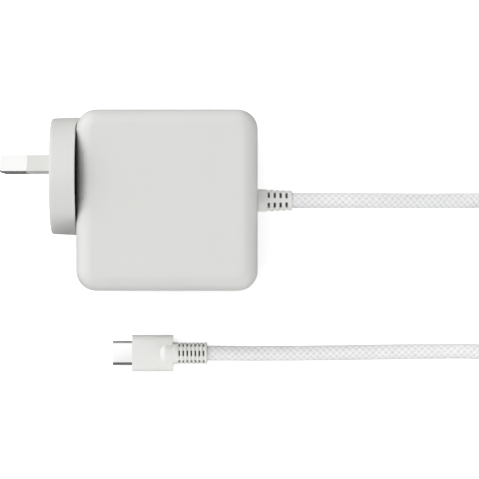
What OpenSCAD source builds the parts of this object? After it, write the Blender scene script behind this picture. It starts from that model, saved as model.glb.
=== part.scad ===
// Laptop power adapter: a square wall case with a slide-on plug head, a fixed cord and a USB-C plug.
// Millimetres. +Z up, with the adapter lying on its rear side. The origin is on the surface that it
// lies on, under the middle of the case, boot and plug head. The case lies level: its plug head is
// wider than the case is thick, so the case's rear face stays a little above the surface.

/* [Case] */
// Width of the case, from the plug head to the cord
case_w = 60.8; // [59.6:0.2:68]
// Height of the case, along its other side
case_h = 60.8; // [59.6:0.2:68]
// Thickness of the case, rear to front
case_t = 32; // [31:0.5:38]
// Corner radius, seen from the front
corner_r = 6.75; // [6.5:0.25:9]
// Radius of the rounded front and rear edges
edge_r = 5.25; // [4.5:0.25:6]
// Wall thickness
wall = 2.2; // [1.8:0.1:2.4]
// Height of the locating lip inside the joint between the two shells
lip_h = 1.5; // [1:0.1:2]
// Thickness of the locating lip
lip_t = 1; // [0.8:0.1:1.2]

/* [Plug head rail] */
// Distance of the plug head's centre from the case's upper edge
head_inset = 22.2; // [20.4:0.2:23.4]
// Width of the rail's wings and of the slot that they run in, before clearance
rail_w = 16.25; // [16:0.25:19]
// Width of the rail's neck
neck_w = 12.6; // [12.2:0.2:13.4]
// Depth of the rail slot in the case
rail_depth = 2.6; // [2.4:0.1:3]
// Thickness of the two lips that hold the wings
rail_lip_t = 1.2; // [1.1:0.1:1.3]
// Height of the lips' upper end above the parting plane
rail_lip_top = 9; // [8:0.25:9.5]
// Depth of the slot's closed end below the parting plane
rail_stop = 11.8; // [10:0.2:12]
// Wall behind the rail slot
rail_wall = 1.6; // [1.4:0.1:2]

/* [Plug head] */
// Diameter of the plug head at the case
disc_d = 39.8; // [38.4:0.2:42]
// Thickness of the plug head
disc_t = 8.6; // [8.4:0.1:10]
// Radius lost towards the wall side
disc_draft = 0.35; // [0.1:0.05:0.6]
// Radius of the plug head's wall-side edge
disc_edge_r = 1.2; // [0.6:0.1:1.6]
// Radius of the plug head's case-side edge
disc_rear_r = 0.4; // [0.2:0.05:0.6]
// Side wall of the plug head's cover
disc_wall = 2; // [1.8:0.1:2.4]
// Thickness of the cover's face against the wall
disc_face_t = 2.4; // [2:0.1:2.8]
// Ledge inside the cover that the back plate seats on
ledge_w = 1; // [0.6:0.1:1.4]
// Depth of the back plate's seat below the cover's rear edge
back_t = 2.2; // [2:0.1:2.6]
// Depth of the back plate's face below the cover's rear edge
back_recess = 1; // [0:0.1:1]

/* [Mains pins] */
// Length of a pin beyond the plug head
pin_len = 17.06; // [16.5:0.02:17.5]
// Width of a pin
pin_w = 6.35; // [6:0.05:6.6]
// Thickness of a pin
pin_t = 1.63; // [1.5:0.01:1.8]
// Corner radius of a pin's tip
pin_tip_r = 1.2; // [0.8:0.1:2]
// Radius from the plug head's centre to the pins' centres
pin_circle_r = 7.92; // [7.8:0.02:8.2]
// Angle of each pin from the plug head's vertical
pin_angle = 60; // [56:1:64]
// Length of the insulating sleeve beyond the plug head
sleeve_len = 8; // [7:0.1:10]
// Width of the pin's core inside the sleeve
pin_core_w = 5; // [4.6:0.1:5.4]
// Thickness of the pin's core inside the sleeve
pin_core_t = 0.9; // [0.8:0.05:1.1]
// Thickness of the block at each pin's root
pin_root_t = 2.6; // [2.2:0.1:3]

/* [Contacts] */
// Distance between the two contacts
contact_pitch = 8; // [7.6:0.1:8.2]
// Width of a contact strip on the plug head
strip_w = 2.6; // [2.2:0.1:2.8]
// Thickness of a contact strip
strip_t = 0.3; // [0.2:0.05:0.4]
// Thickness of the bars inside the plug head
bar_t = 0.6; // [0.5:0.05:0.8]
// Depth of the grooves that the strips lie in
groove_depth = 1.1; // [1:0.05:1.2]
// Width of the case's contact springs
spring_w = 2.2; // [1.8:0.1:2.4]
// Thickness of the contact springs
spring_t = 0.3; // [0.2:0.05:0.4]
// Height of the springs' slot above the parting plane
spring_slot_z = 2.6; // [2:0.1:3.5]
// Length of the spring's contact pad
spring_pad = 5; // [4:0.25:6]
// Length of the spring's foot inside the case, below the slot
spring_foot = 9; // [8.5:0.25:9.5]

/* [Cord and boot] */
// Diameter of the cord
cord_d = 5.1; // [4.8:0.1:5.2]
// Length of the boot outside the case
boot_len = 11.6; // [11.5:0.1:14]
// Diameter of the boot at the case
boot_d = 7.7; // [7.6:0.1:9]
// Diameter of the boot at its end
boot_end_d = 6.7; // [6.6:0.1:7.6]
// Rounding of the boot's end
boot_end_r = 0.5; // [0.3:0.05:0.7]
// Diameter of the boot's neck through the wall
boot_neck_d = 6.4; // [6:0.1:7]
// Diameter of the boot's flange inside the case
boot_flange_d = 10; // [9:0.2:12]
// Thickness of that flange
boot_flange_t = 1.8; // [1.4:0.1:2.2]
// Distance of the first ring of windows from the case
boot_ring_start = 3.7; // [3.6:0.1:4.2]
// Distance between rings of windows
boot_ring_pitch = 2; // [2:0.05:2.3]
// Number of rings of windows
boot_rings = 4; // [3:1:4]
// Windows in each ring
boot_windows = 6; // [4:1:6]
// Width of a window along the cord
boot_window_w = 0.8; // [0.5:0.05:1]
// Length of a window round the boot
boot_window_len = 1.9; // [1.6:0.1:2.1]

/* [USB-C plug] */
// Length of the metal shell outside the moulding
shell_len = 6.7; // [6.2:0.05:7]
// Width of the metal shell
shell_w = 8.25; // [8.2:0.01:8.3]
// Thickness of the metal shell across its flat sides
shell_h = 2.4; // [2.3:0.02:2.5]
// Wall of the metal shell
shell_wall = 0.3; // [0.25:0.01:0.35]
// Length of the shell inside the moulding
shell_root = 1.6; // [1.2:0.1:2]
// Depth of the mouth inside the plug
mouth_depth = 5.2; // [4.6:0.1:5.6]
// Width of the mouth
mouth_w = 6.9; // [6.8:0.05:7.1]
// Height of the mouth between the contact rows
mouth_h = 0.9; // [0.8:0.05:1]
// Contacts in each row
contact_count = 12; // [8:1:12]
// Distance between contacts in a row
contact_step = 0.5; // [0.45:0.01:0.55]
// Width of a contact
contact_w = 0.25; // [0.2:0.01:0.3]
// Length of the moulding
grip_len = 14; // [13.5:0.1:16]
// Width of the moulding
grip_w = 12.4; // [12:0.1:14]
// Thickness of the moulding
grip_t = 4.6; // [4.4:0.1:5.4]
// Radius of the moulding's long edges
grip_r = 2.2; // [1.6:0.1:2.2]
// Length of the round nose that rises from the moulding
nose_len = 4.3; // [4:0.1:5.5]
// Length of the small circuit board in the moulding
paddle_len = 8.4; // [7.6:0.1:9]
// Width of that board
paddle_w = 8; // [7:0.1:8.6]
// Thickness of that board
paddle_t = 0.8; // [0.6:0.1:1]
// Diameter of the plug's boot
usb_boot_d = 7.4; // [7.2:0.1:8.4]
// Length of the plug's boot
usb_boot_len = 11.7; // [11.5:0.1:14]
// Length of its smooth collar
collar_len = 1.85; // [1.8:0.05:2.4]
// Distance between its grooves
usb_groove_pitch = 1.38; // [1.35:0.01:1.45]
// Number of grooves
usb_grooves = 7; // [5:1:7]
// Width of a groove's windows
usb_window_w = 0.45; // [0.3:0.05:0.5]
// Length of a window round the boot
usb_window_len = 1.8; // [1.5:0.1:2]
// Depth of the shallow ring between two ribs
usb_ring_depth = 0.3; // [0.15:0.05:0.4]

/* [Cord coil] */
// Radius of the outer turn's centre line
coil_r = 44; // [42:0.5:50]
// Distance between neighbouring turns
coil_pitch = 5.6; // [5.5:0.05:6]
// Turns in each of the two layers
coil_turns = 4; // [3:1:4]
// Width of the strap round the coil
tie_w = 10; // [8:0.5:10]
// Thickness of the strap
tie_t = 0.8; // [0.6:0.1:0.8]

/* [Circuit board] */
// Height of the posts under the board
post_h = 3.6; // [3.4:0.1:4.2]
// Diameter of the posts
post_d = 4.8; // [4:0.2:5.4]
// Diameter of the pegs on the posts
peg_d = 2; // [1.6:0.1:2.4]
// Height of the pegs above the board
peg_rise = 1.2; // [0.8:0.1:2]
// Distance of the pegs from the board's edges
peg_inset = 3.2; // [3:0.1:3.6]
// Thickness of the board
board_t = 1.6; // [1.5:0.1:1.7]
// Gap between the board and the case walls
board_gap = 1.2; // [1:0.1:1.4]
// Thickness of the insulating sheets
sheet_t = 0.4; // [0.3:0.05:0.5]
// Thickness of the heat spreader
spreader_t = 0.8; // [0.6:0.1:1]
// Width and length of the heat spreader
spreader_w = 46; // [40:1:48]

/* [Mains side components] */
// Fuse: width, length and height
fuse_size = [4, 8.4, 7.6];
// Diameter of the inrush thermistor
thermistor_d = 8; // [7:0.5:9]
// Thickness of the inrush thermistor
thermistor_t = 4; // [3:0.25:4.5]
// Diameter of the surge varistor
varistor_d = 9; // [8:0.5:9]
// Thickness of the surge varistor
varistor_t = 4.4; // [3.5:0.1:4.6]
// Filter capacitor: thickness, length and height
film_cap_size = [6, 13, 12];
// Outer diameter of the choke's ring
choke_d = 15; // [13:0.5:15]
// Inner diameter of the choke's ring
choke_bore = 8; // [7:0.5:8.5]
// Height of the choke's ring
choke_h = 7; // [6:0.5:9]
// Thickness of the choke's windings
choke_wire_t = 0.8; // [0.6:0.1:0.9]
// Angle that each of the two windings covers
choke_wire_angle = 130; // [100:5:150]
// Diameter of the filter inductor
filter_coil_d = 8; // [7:0.5:8]
// Height of the filter inductor
filter_coil_h = 9; // [7:0.5:10]
// Bridge rectifier: thickness, length and height
bridge_size = [3.5, 14.7, 10.5];
// Diameter of each bulk capacitor
bulk_d = 12.5; // [11:0.5:12.5]
// Height of each bulk capacitor
bulk_h = 18; // [14:0.5:19]

/* [Transformer and output components] */
// Width of the transformer's core
core_w = 24; // [22:0.5:24.5]
// Depth of the transformer's core
core_d = 20; // [18:0.5:20]
// Height of the transformer's core
core_h = 17.5; // [16:0.5:18]
// Thickness of the core's end plates
core_plate = 3; // [2.6:0.1:3.2]
// Diameter of the core's centre post
core_post_d = 8.8; // [8:0.1:9.2]
// Diameter of the core's winding window
core_window_d = 19.2; // [18:0.1:19.6]
// Width of the window's side openings
core_mouth_w = 12; // [10.5:0.5:14]
// Wall of the bobbin
bobbin_t = 0.8; // [0.6:0.1:0.9]
// Height of the bobbin's rails under the core
bobbin_foot = 2; // [1.5:0.1:2.5]
// Power transistor: width, thickness and height
transistor_size = [10, 4.4, 15];
// Heat sink: width, thickness and height
sink_size = [13, 1.4, 17];
// Diameter of the safety capacitor
safety_cap_d = 8; // [7:0.5:9]
// Thickness of the safety capacitor
safety_cap_t = 3.6; // [3:0.2:4]
// Optocoupler: width, length and height
opto_size = [4.6, 6.6, 3.6];
// Diameter of each output capacitor
output_cap_d = 8; // [7:0.5:8]
// Height of each output capacitor
output_cap_h = 12; // [9:0.5:14]
// Diameter of the output inductor
output_coil_d = 8; // [7:0.5:8]
// Height of the output inductor
output_coil_h = 8; // [6:0.5:10]
// Output board: thickness, length and height
output_board_size = [1.2, 17, 13];
// Chips under the main board: width, length and height
chip_size = [5, 6, 1.6];
// Chip on the output board: thickness, length and height
driver_size = [1, 5, 5];
// Length of board that the components need
layout_len = 55;
// Height of board that they need
layout_h = 57.2;

/* [Clearances] */
// Gap between the plug head and the case's side
head_gap = 0.2; // [0.15:0.05:0.4]
// Clearance on each side of the rail
rail_gap = 0.2; // [0.15:0.05:0.3]
// Clearance behind the rail and over its contacts
contact_gap = 0.3; // [0.25:0.05:0.35]
// Clearance of parts that are pushed or moulded together
fit_gap = 0.05; // [0.02:0.01:0.1]
// Gap between the boot's shoulder and the case
boot_gap = 0.1; // [0.05:0.05:0.3]
// Least gap between components
part_gap = 0.5; // [0.4:0.05:0.6]
// Clearance between the strap and the coil
tie_gap = 0.3; // [0.2:0.05:0.4]

/* [Hidden] */
$fn = 64;
eps = 0.01;
round_steps = 6;
cord_sides = 10;
coil_sides = 6;
rings_per_turn = 24;

// Where the case stands
pin_reach = case_w / 2 + head_gap + disc_t + pin_len;
boot_reach = case_w / 2 + boot_gap + boot_len;
case_x = (pin_reach - boot_reach) / 2;
case_z = max(disc_d, case_t) / 2;
head_y = case_h / 2 - head_inset;
left_x = -case_w / 2;
right_x = case_w / 2;
inner_z = case_t / 2 - wall;
half_board_h = case_h / 2 - wall - board_gap;

// Rail slot and the rail that runs in it
slot_half = rail_w / 2 + rail_gap;
mouth_half = neck_w / 2 + rail_gap;
rail_reach = rail_depth - contact_gap;
rail_floor_x = left_x + rail_depth;
rail_inner_x = rail_floor_x + rail_wall;
rail_bottom_z = -rail_stop + contact_gap;
strip_face_x = left_x + rail_reach - groove_depth + strip_t;
spring_tip_x = strip_face_x + contact_gap;
cap_base_z = rail_lip_top + contact_gap;

// Inside of the plug head
disc_rear_x = left_x - head_gap;
disc_front_x = disc_rear_x - disc_t;
root_x = disc_front_x + disc_face_t;
bar_x = disc_rear_x - back_t - bar_t;
cover_bore_r = disc_d / 2 - disc_draft - disc_wall;
horn_overlap = 1;
horn_inset = 0.05;
horn_gap = head_gap + 0.1;
bar_half = strip_w / 2 + 1.4;
leg_half = 0.75;
front_bar_low = -0.6;
rear_bar_high = -4.2;
groove_top = spring_slot_z + spring_t + 2.6;

// Circuit board
peg_room = peg_inset + peg_d / 2 + part_gap;
output_peg_inset = 12.5;
board_x0 = rail_inner_x + 1.4;
board_x1 = right_x - wall - board_gap;
board_z0 = -inner_z + post_h;
board_top = board_z0 + board_t;
board_r = corner_r - wall - 0.8;
peg_y = half_board_h - peg_inset;
pegs = [[board_x0 + peg_inset, -peg_y], [board_x0 + peg_inset, peg_y], [board_x1 - peg_inset, peg_y],
    [board_x1 - output_peg_inset, -peg_y]];
sheet_x0 = board_x0 + 0.9;
sheet_x1 = right_x - edge_r - 0.1;
sheet_half = case_h / 2 - edge_r - 0.5;

// On a board that is too small for them, the components shrink together
shrink = min(1, (board_x1 - board_x0) / layout_len, 2 * half_board_h / layout_h);
layout_end = (board_x1 - board_x0) / shrink;
layout_half = half_board_h / shrink;
lead_x = board_x0 + 1.6 * shrink;
lead_z = spring_slot_z - spring_foot + 1.4;
lead_r = 0.6;

// Places of the components before they shrink, each next to the one before it: x runs from the
// board's end at the rail, y from the middle
edge_gap = 0.6;
column_x = 2.9;
bulk_in = 7;
film_cap_in = 7.2;
choke_in = 4.1;
fuse_y = -8;
thermistor_y = fuse_y - fuse_size[1] / 2 - 1.3 - thermistor_d / 2;
varistor_y = layout_half - peg_room / shrink - varistor_d / 2;
bulk_y = -layout_half + edge_gap + bulk_d / 2;
bulk_top_y = bulk_y + bulk_d / 2;
bulk_x = bulk_in + bulk_d / 2;
film_cap_x = film_cap_in + film_cap_size[0] / 2;
film_cap_y = bulk_top_y + 1.8 + film_cap_size[1] / 2;
bridge_x = film_cap_x + film_cap_size[0] / 2 + 2 * part_gap + bridge_size[0] / 2;
bridge_y = bulk_top_y + 0.9 + bridge_size[1] / 2;
choke_reach = choke_d / 2 + choke_wire_t;
choke_x = choke_in + choke_reach;
choke_y = film_cap_y + film_cap_size[1] / 2 + 3 + choke_reach;
filter_coil_x = choke_x + choke_bore / 2;
filter_coil_y = choke_y + choke_reach + 1.3 + filter_coil_d / 2;
core_x = choke_x + choke_reach + 0.2 + part_gap + core_w / 2;
web_t = 0.8;
web_half = 5;
foot_half = 10;
foot_inner = 7;
transistor_x = core_x - transistor_size[0] / 2 + part_gap;
transistor_y = bulk_top_y + 1.5 + transistor_size[1] / 2;
sink_y = transistor_y + transistor_size[1] / 2 + sink_size[1] / 2;
core_y = sink_y + sink_size[1] / 2 + part_gap + web_t + core_d / 2;
core_top = bobbin_foot + core_h;
third_bulk_x = core_x - 4;
third_bulk_y = core_y + core_d / 2 + web_t + 1.4 + bulk_d / 2;
opto_x = third_bulk_x + bulk_d / 2 + 3 + opto_size[0] / 2;
opto_y = core_y + core_d / 2 + web_t + 1 + opto_size[1] / 2;
output_board_x = core_x + core_w / 2 + 1.4 + output_board_size[0] / 2;
output_face_x = output_board_x + output_board_size[0] / 2;
output_cap_x = layout_end - edge_gap - output_cap_d / 2;
output_cap_y = -output_board_size[1] / 2 - 2.1 - output_cap_d / 2;
output_coil_x = layout_end - edge_gap + 0.2 - output_coil_d / 2;
output_coil_y = output_board_size[1] / 2 + 1.9 + output_coil_d / 2;
safety_cap_x = transistor_x + transistor_size[0] / 2 + part_gap + 2.4 + safety_cap_d / 2;
safety_cap_y = transistor_y - transistor_size[1] / 2;
chip_places = [[22.4, 4], [36.4, -4], [42.4, 4]];
pad_size = [34, 20];
pad_x = 34.4;

// Cord root, boots and plug
cord_r = cord_d / 2;
cord_root_x = right_x - wall - 3;
exit_x = case_x + boot_reach;
usb_from_exit = [-28.9, -52.2, usb_boot_d / 2];
usb_end = [exit_x, 0, 0] + usb_from_exit;
grip_x0 = -usb_boot_len - grip_len;
jacket_x = grip_x0 + shell_root + paddle_len;
jacket_r = cord_r - 0.6;
pocket_h = 3.2;
rib_flank = 0.35;

// Coil: two layers, wound inwards below and outwards above
coil_from_exit = 126;
coil_x = exit_x + coil_from_exit;
coil_y = -26.2;
coil_low_z = cord_r + tie_t + tie_gap;
coil_high_z = coil_low_z + coil_pitch;
coil_inner_r = coil_r - coil_turns * coil_pitch;
tie_angle = 65;

// Route of the cord from the boot to the coil: distance from the boot's end, then y and z
run_out_route = [[0, 0, case_z], [7, 0, case_z], [16, 0, 19.6], [26, 0, 18], [36, 0, 14.8], [46, 0, 10.9],
    [56, 0.1, 7.2], [66, 0.3, 4.4], [76, 1.8, 3], [86, 4.9, cord_r], [96, 9.4, cord_r], [105, 14, 2.75],
    [113, 17, 3.25], [coil_from_exit - cord_d, coil_y + coil_r, coil_low_z]];
// Route from the coil to the plug, measured the same way
run_back_route = [[coil_from_exit - cord_d, coil_y - coil_r, coil_high_z], [112, -69.3, 8.4],
    [103, -66.8, 6.6], [94, -62.8, 4.6], [86, -58.6, 3.2], [78, -54.9, 2.65], [70, -52.4, cord_r],
    [61, -51.6, cord_r], [50, -51.6, cord_r], [38, -51.75, cord_r], [26, -51.9, cord_r], [14, -52.1, cord_r],
    [2, -52.25, cord_r], [-9, -52.3, 2.6], [-17, -52.3, 3.15], [-23, -52.2, 3.6], usb_from_exit];

white = [0.87, 0.87, 0.85];
pale = [0.8, 0.8, 0.78];
steel = [0.78, 0.79, 0.8];
copper = [0.8, 0.5, 0.3];
black = [0.12, 0.12, 0.13];

module at_case() translate([case_x, 0, case_z]) children();
module at_head() translate([0, head_y, 0]) children();
module at_board(x, y) translate([board_x0, 0, board_top]) scale(shrink) translate([x, y, 0])
    children();
module at_usb() translate(usb_end) children();
module along_x() rotate([0, 90, 0]) children();

function arc(centre, r, from, to) =
    [for (i = [0:round_steps]) let (a = from + (to - from) * i / round_steps)
        [centre[0] + r * cos(a), centre[1] + r * sin(a)]];

// Rectangle with round corners
module rounded_rect(w, h, r) {
    square([w, h - 2 * r], center = true);
    square([w - 2 * r, h], center = true);
    for (x = [-1, 1], y = [-1, 1]) translate([x * (w / 2 - r), y * (h / 2 - r)]) circle(r);
}

// Half section of a round corner: radius big from the front, small along its two edges
module corner_section(t, big, small) {
    translate([0, -t / 2]) square([big - small, t]);
    translate([0, -t / 2 + small]) square([big, t - 2 * small]);
    for (s = [-1, 1]) intersection() {
        translate([big - small, s * (t / 2 - small)]) circle(small);
        translate([0, -t]) square([big, 2 * t]);
    }
}

// Block with round corners and round edges: two crossing bars and four turned corners
module rounded_block(w, h, t, big, small) {
    rotate([90, 0, 0]) linear_extrude(h - 2 * big, center = true) rounded_rect(w, t, small);
    rotate([90, 0, 90]) linear_extrude(w - 2 * big, center = true) rounded_rect(h, t, small);
    for (x = [-1, 1], y = [-1, 1]) translate([x * (w / 2 - big), y * (h / 2 - big), 0])
        rotate_extrude() corner_section(t, big, small);
}

// Box from one corner to another
module span(from, to) translate(from) cube(to - from);

// ---- case ----

module case_outside() rounded_block(case_w, case_h, case_t, corner_r, edge_r);

// The space inside, less the block that backs the rail slot
module case_inside() difference() {
    rounded_block(case_w - 2 * wall, case_h - 2 * wall, 2 * inner_z, corner_r - wall, edge_r - wall);
    at_head() span([left_x, -slot_half - rail_wall, -case_t], [rail_inner_x, slot_half + rail_wall, case_t]);
}

// Slot that the plug head's rail runs in, open at the front
module rail_slot() at_head() {
    span([left_x - 1, -mouth_half, -rail_stop], [left_x + rail_lip_t + eps, mouth_half, case_t]);
    span([left_x + rail_lip_t, -slot_half, -rail_stop], [rail_floor_x, slot_half, case_t]);
    span([left_x - 1, -slot_half, rail_lip_top], [rail_floor_x, slot_half, case_t]);
    for (s = [-1, 1]) translate([0, s * contact_pitch / 2, spring_slot_z])
        span([rail_floor_x - 1, -spring_w / 2 - fit_gap, -fit_gap],
            [rail_inner_x + 1, spring_w / 2 + fit_gap, spring_t + fit_gap]);
}

module boot_hole() translate([right_x - wall - 1, 0, 0]) along_x()
    cylinder(d = boot_neck_d + 2 * fit_gap, h = wall + 2);

// Ring along the inside of the wall, from the inner face outwards
module lip_ring(t, h) linear_extrude(h) difference() {
    rounded_rect(case_w - 2 * wall + 2 * t, case_h - 2 * wall + 2 * t, corner_r - wall + t);
    rounded_rect(case_w - 2 * wall, case_h - 2 * wall, corner_r - wall);
}

// Where the lip is left out: at the rail
module lip_break() at_head()
    span([left_x - 1, -slot_half - rail_wall, -eps], [rail_inner_x, slot_half + rail_wall, lip_h + 1]);

module front_shell() color(white) at_case() difference() {
    case_outside();
    case_inside();
    rail_slot();
    boot_hole();
    span([-case_w, -case_h, -case_t], [case_w, case_h, 0]);
    difference() {
        translate([0, 0, -eps]) lip_ring(lip_t + fit_gap, lip_h + fit_gap + eps);
        lip_break();
    }
}

module rear_shell() color(white) at_case() difference() {
    union() {
        difference() {
            case_outside();
            case_inside();
            span([-case_w, -case_h, 0], [case_w, case_h, case_t]);
        }
        difference() {
            translate([0, 0, -eps]) lip_ring(lip_t, lip_h + eps);
            lip_break();
        }
        for (p = pegs) translate([p[0], p[1], -inner_z - eps]) {
            cylinder(d = post_d, h = post_h + eps);
            cylinder(d = peg_d, h = post_h + board_t + peg_rise);
        }
    }
    rail_slot();
    boot_hole();
}

// ---- inside the case ----

module front_insulator() color("ivory") at_case()
    span([sheet_x0, -sheet_half, inner_z - sheet_t], [sheet_x1, sheet_half, inner_z]);

module rear_insulator() color("ivory") at_case() difference() {
    span([sheet_x0, -sheet_half, -inner_z], [sheet_x1, sheet_half, -inner_z + sheet_t]);
    for (p = pegs) translate([p[0], p[1], -inner_z - 1]) cylinder(d = post_d + 0.6, h = sheet_t + 2);
}

module heat_spreader() color("silver") at_case() translate([0, 0, inner_z - sheet_t - spreader_t])
    linear_extrude(spreader_t) rounded_rect(spreader_w, spreader_w, 3);

module front_gap_pad() color("lightsteelblue") at_case() at_board(core_x, core_y)
    span([1 - core_w / 2, 1 - core_d / 2, core_top],
        [core_w / 2 - 1, core_d / 2 - 1, (inner_z - sheet_t - spreader_t - board_top) / shrink]);

module rear_gap_pad() color("lightsteelblue") at_case() at_board(pad_x, 0)
    span([-pad_size[0] / 2, -pad_size[1] / 2, (-inner_z + sheet_t - board_top) / shrink],
        [pad_size[0] / 2, pad_size[1] / 2, -board_t / shrink - chip_size[2]]);

module main_board() color("seagreen") at_case() difference() {
    translate([(board_x0 + board_x1) / 2, 0, board_z0])
        linear_extrude(board_t) rounded_rect(board_x1 - board_x0, 2 * half_board_h, board_r);
    for (p = pegs) translate([p[0], p[1], board_z0 - 1]) cylinder(d = peg_d + 2 * fit_gap, h = board_t + 2);
}

// A box that stands on the board
module block_part(x, y, size) at_board(x, y) translate([-size[0] / 2, -size[1] / 2, 0]) cube(size);

// A disc that stands on edge on two legs
module disc_part(x, y, d, t, turn = 0) at_board(x, y) rotate([0, 0, turn]) {
    translate([-t / 2, 0, d / 2 + 1]) along_x() cylinder(d = d, h = t);
    for (s = [-1, 1]) translate([0, s * d / 4, 0]) cylinder(d = 0.8, h = d / 2);
}

// A can with a rolled groove near its foot
module can_part(x, y, d, h) at_board(x, y) difference() {
    cylinder(d = d, h = h);
    translate([0, 0, 2]) difference() {
        cylinder(d = d + 1, h = 0.8);
        translate([0, 0, -1]) cylinder(d = d - 0.6, h = 3);
    }
}

// A drum core with its wire
module drum_part(x, y, d, h) at_board(x, y) {
    cylinder(d = d, h = 1.2);
    cylinder(d = d - 1.2, h = h);
    translate([0, 0, h - 1.2]) cylinder(d = d, h = 1.2);
}

module fuse() color("saddlebrown") at_case() block_part(column_x, fuse_y, fuse_size);
module inrush_thermistor() color("darkgreen") at_case()
    disc_part(column_x, thermistor_y, thermistor_d, thermistor_t);
module surge_varistor() color("royalblue") at_case() disc_part(column_x, varistor_y, varistor_d, varistor_t);
module film_capacitor() color("goldenrod") at_case() block_part(film_cap_x, film_cap_y, film_cap_size);

module choke_core() color("dimgray") at_case() at_board(choke_x, choke_y) translate([0, 0, choke_wire_t])
    difference() {
        cylinder(d = choke_d, h = choke_h);
        translate([0, 0, -1]) cylinder(d = choke_bore, h = choke_h + 2);
    }

module choke_windings() color(copper) at_case() at_board(choke_x, choke_y) for (turn = [0, 180])
    rotate([0, 0, turn - choke_wire_angle / 2]) rotate_extrude(angle = choke_wire_angle)
        difference() {
            translate([choke_bore / 2 - choke_wire_t, 0])
                square([(choke_d - choke_bore) / 2 + 2 * choke_wire_t, choke_h + 2 * choke_wire_t]);
            translate([choke_bore / 2 - fit_gap / 2, choke_wire_t - fit_gap / 2])
                square([(choke_d - choke_bore) / 2 + fit_gap, choke_h + fit_gap]);
        }

module filter_inductor() color("dimgray") at_case()
    drum_part(filter_coil_x, filter_coil_y, filter_coil_d, filter_coil_h);
module bridge_rectifier() color(black) at_case() block_part(bridge_x, bridge_y, bridge_size);

module bulk_capacitors() color("darkslateblue") at_case() {
    can_part(bulk_x, bulk_y, bulk_d, bulk_h);
    can_part(bulk_x + bulk_d + part_gap, bulk_y, bulk_d, bulk_h);
    can_part(third_bulk_x, third_bulk_y, bulk_d, bulk_h);
}

// Two halves that meet at the middle, with a round post in a window that is open on two sides
module transformer_core() color("dimgray") at_case() at_board(core_x, core_y) translate([0, 0, bobbin_foot])
    difference() {
        translate([-core_w / 2, -core_d / 2, 0]) cube([core_w, core_d, core_h]);
        translate([0, 0, core_plate]) difference() {
            union() {
                cylinder(d = core_window_d, h = core_h - 2 * core_plate);
                translate([-core_mouth_w / 2, -core_d, 0])
                    cube([core_mouth_w, 2 * core_d, core_h - 2 * core_plate]);
            }
            translate([0, 0, -1]) cylinder(d = core_post_d, h = core_h);
        }
        translate([-core_w, -core_d, core_h / 2 - fit_gap]) cube([2 * core_w, 2 * core_d, 2 * fit_gap]);
    }

// Box on one side (s is 1 or -1), between two distances from the middle
module side_box(s, near, far, half_w, z, h) translate([-half_w, s > 0 ? near : -far, z])
    cube([2 * half_w, far - near, h]);

module transformer_bobbin() color(black) at_case() at_board(core_x, core_y) {
    tube_z = bobbin_foot + core_plate;
    tube_h = core_h - 2 * core_plate;
    difference() {
        union() {
            translate([0, 0, tube_z]) cylinder(d = core_post_d + 2 * bobbin_t, h = tube_h);
            for (z = [tube_z, tube_z + tube_h - bobbin_t])
                translate([0, 0, z]) cylinder(d = core_window_d - 2 * fit_gap, h = bobbin_t);
            for (s = [-1, 1]) {
                far = core_d / 2 + web_t;
                side_box(s, foot_inner, far, web_half, tube_z, bobbin_t);
                side_box(s, core_d / 2, far, web_half, 0, tube_z + bobbin_t);
                side_box(s, foot_inner, far, foot_half, 0, bobbin_foot);
            }
        }
        translate([0, 0, tube_z - 1]) cylinder(d = core_post_d + 2 * fit_gap, h = tube_h + 2);
    }
}

module transformer_winding() color("gold") at_case() at_board(core_x, core_y)
    translate([0, 0, bobbin_foot + core_plate + bobbin_t]) difference() {
        wire_h = core_h - 2 * core_plate - 2 * bobbin_t;
        cylinder(d = core_window_d - 0.6, h = wire_h);
        translate([0, 0, -1]) cylinder(d = core_post_d + 2 * bobbin_t, h = wire_h + 2);
    }

module power_transistor() color(black) at_case() block_part(transistor_x, transistor_y, transistor_size);
module primary_heatsink() color("silver") at_case() block_part(transistor_x, sink_y, sink_size);
module safety_capacitor() color("royalblue") at_case()
    disc_part(safety_cap_x, safety_cap_y, safety_cap_d, safety_cap_t, 90);
module optocoupler() color(black) at_case() block_part(opto_x, opto_y, opto_size);

module output_capacitors() color("silver") at_case() for (i = [0, 1])
    can_part(output_cap_x, output_cap_y - i * (output_cap_d + part_gap + 0.3), output_cap_d, output_cap_h);

module output_inductor() color("dimgray") at_case()
    drum_part(output_coil_x, output_coil_y, output_coil_d, output_coil_h);
module output_board() color("seagreen") at_case() block_part(output_board_x, 0, output_board_size);

module control_chips() color(black) at_case() {
    for (p = chip_places) at_board(p[0], p[1]) translate([0, 0, -board_t / shrink - chip_size[2] / 2])
        cube(chip_size, center = true);
    at_board(output_face_x, 2.6) translate([0, 0, driver_size[0]]) cube(driver_size);
}

// Bent strips: a foot inside the case, a leg through the slot, and a pad that faces the plug head's strip
module contact_springs() color("gold") at_case() at_head()
    for (s = [-1, 1]) translate([0, s * contact_pitch / 2 - spring_w / 2, spring_slot_z]) {
        span([rail_inner_x, 0, -spring_foot], [rail_inner_x + spring_t, spring_w, spring_t]);
        span([spring_tip_x, 0, 0], [rail_inner_x + spring_t, spring_w, spring_t]);
        span([spring_tip_x, 0, -spring_pad], [spring_tip_x + spring_t, spring_w, spring_t]);
    }

// Wire from each spring's foot to the board
module input_leads() color("firebrick") at_case() at_head() for (s = [-1, 1])
    translate([0, s * contact_pitch / 2, 0]) {
        foot_x = rail_inner_x + spring_t;
        translate([foot_x, 0, lead_z]) along_x() cylinder(r = lead_r, h = lead_x - foot_x);
        translate([lead_x, 0, lead_z]) sphere(lead_r);
        translate([lead_x, 0, board_top]) cylinder(r = lead_r, h = lead_z - board_top);
    }

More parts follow.
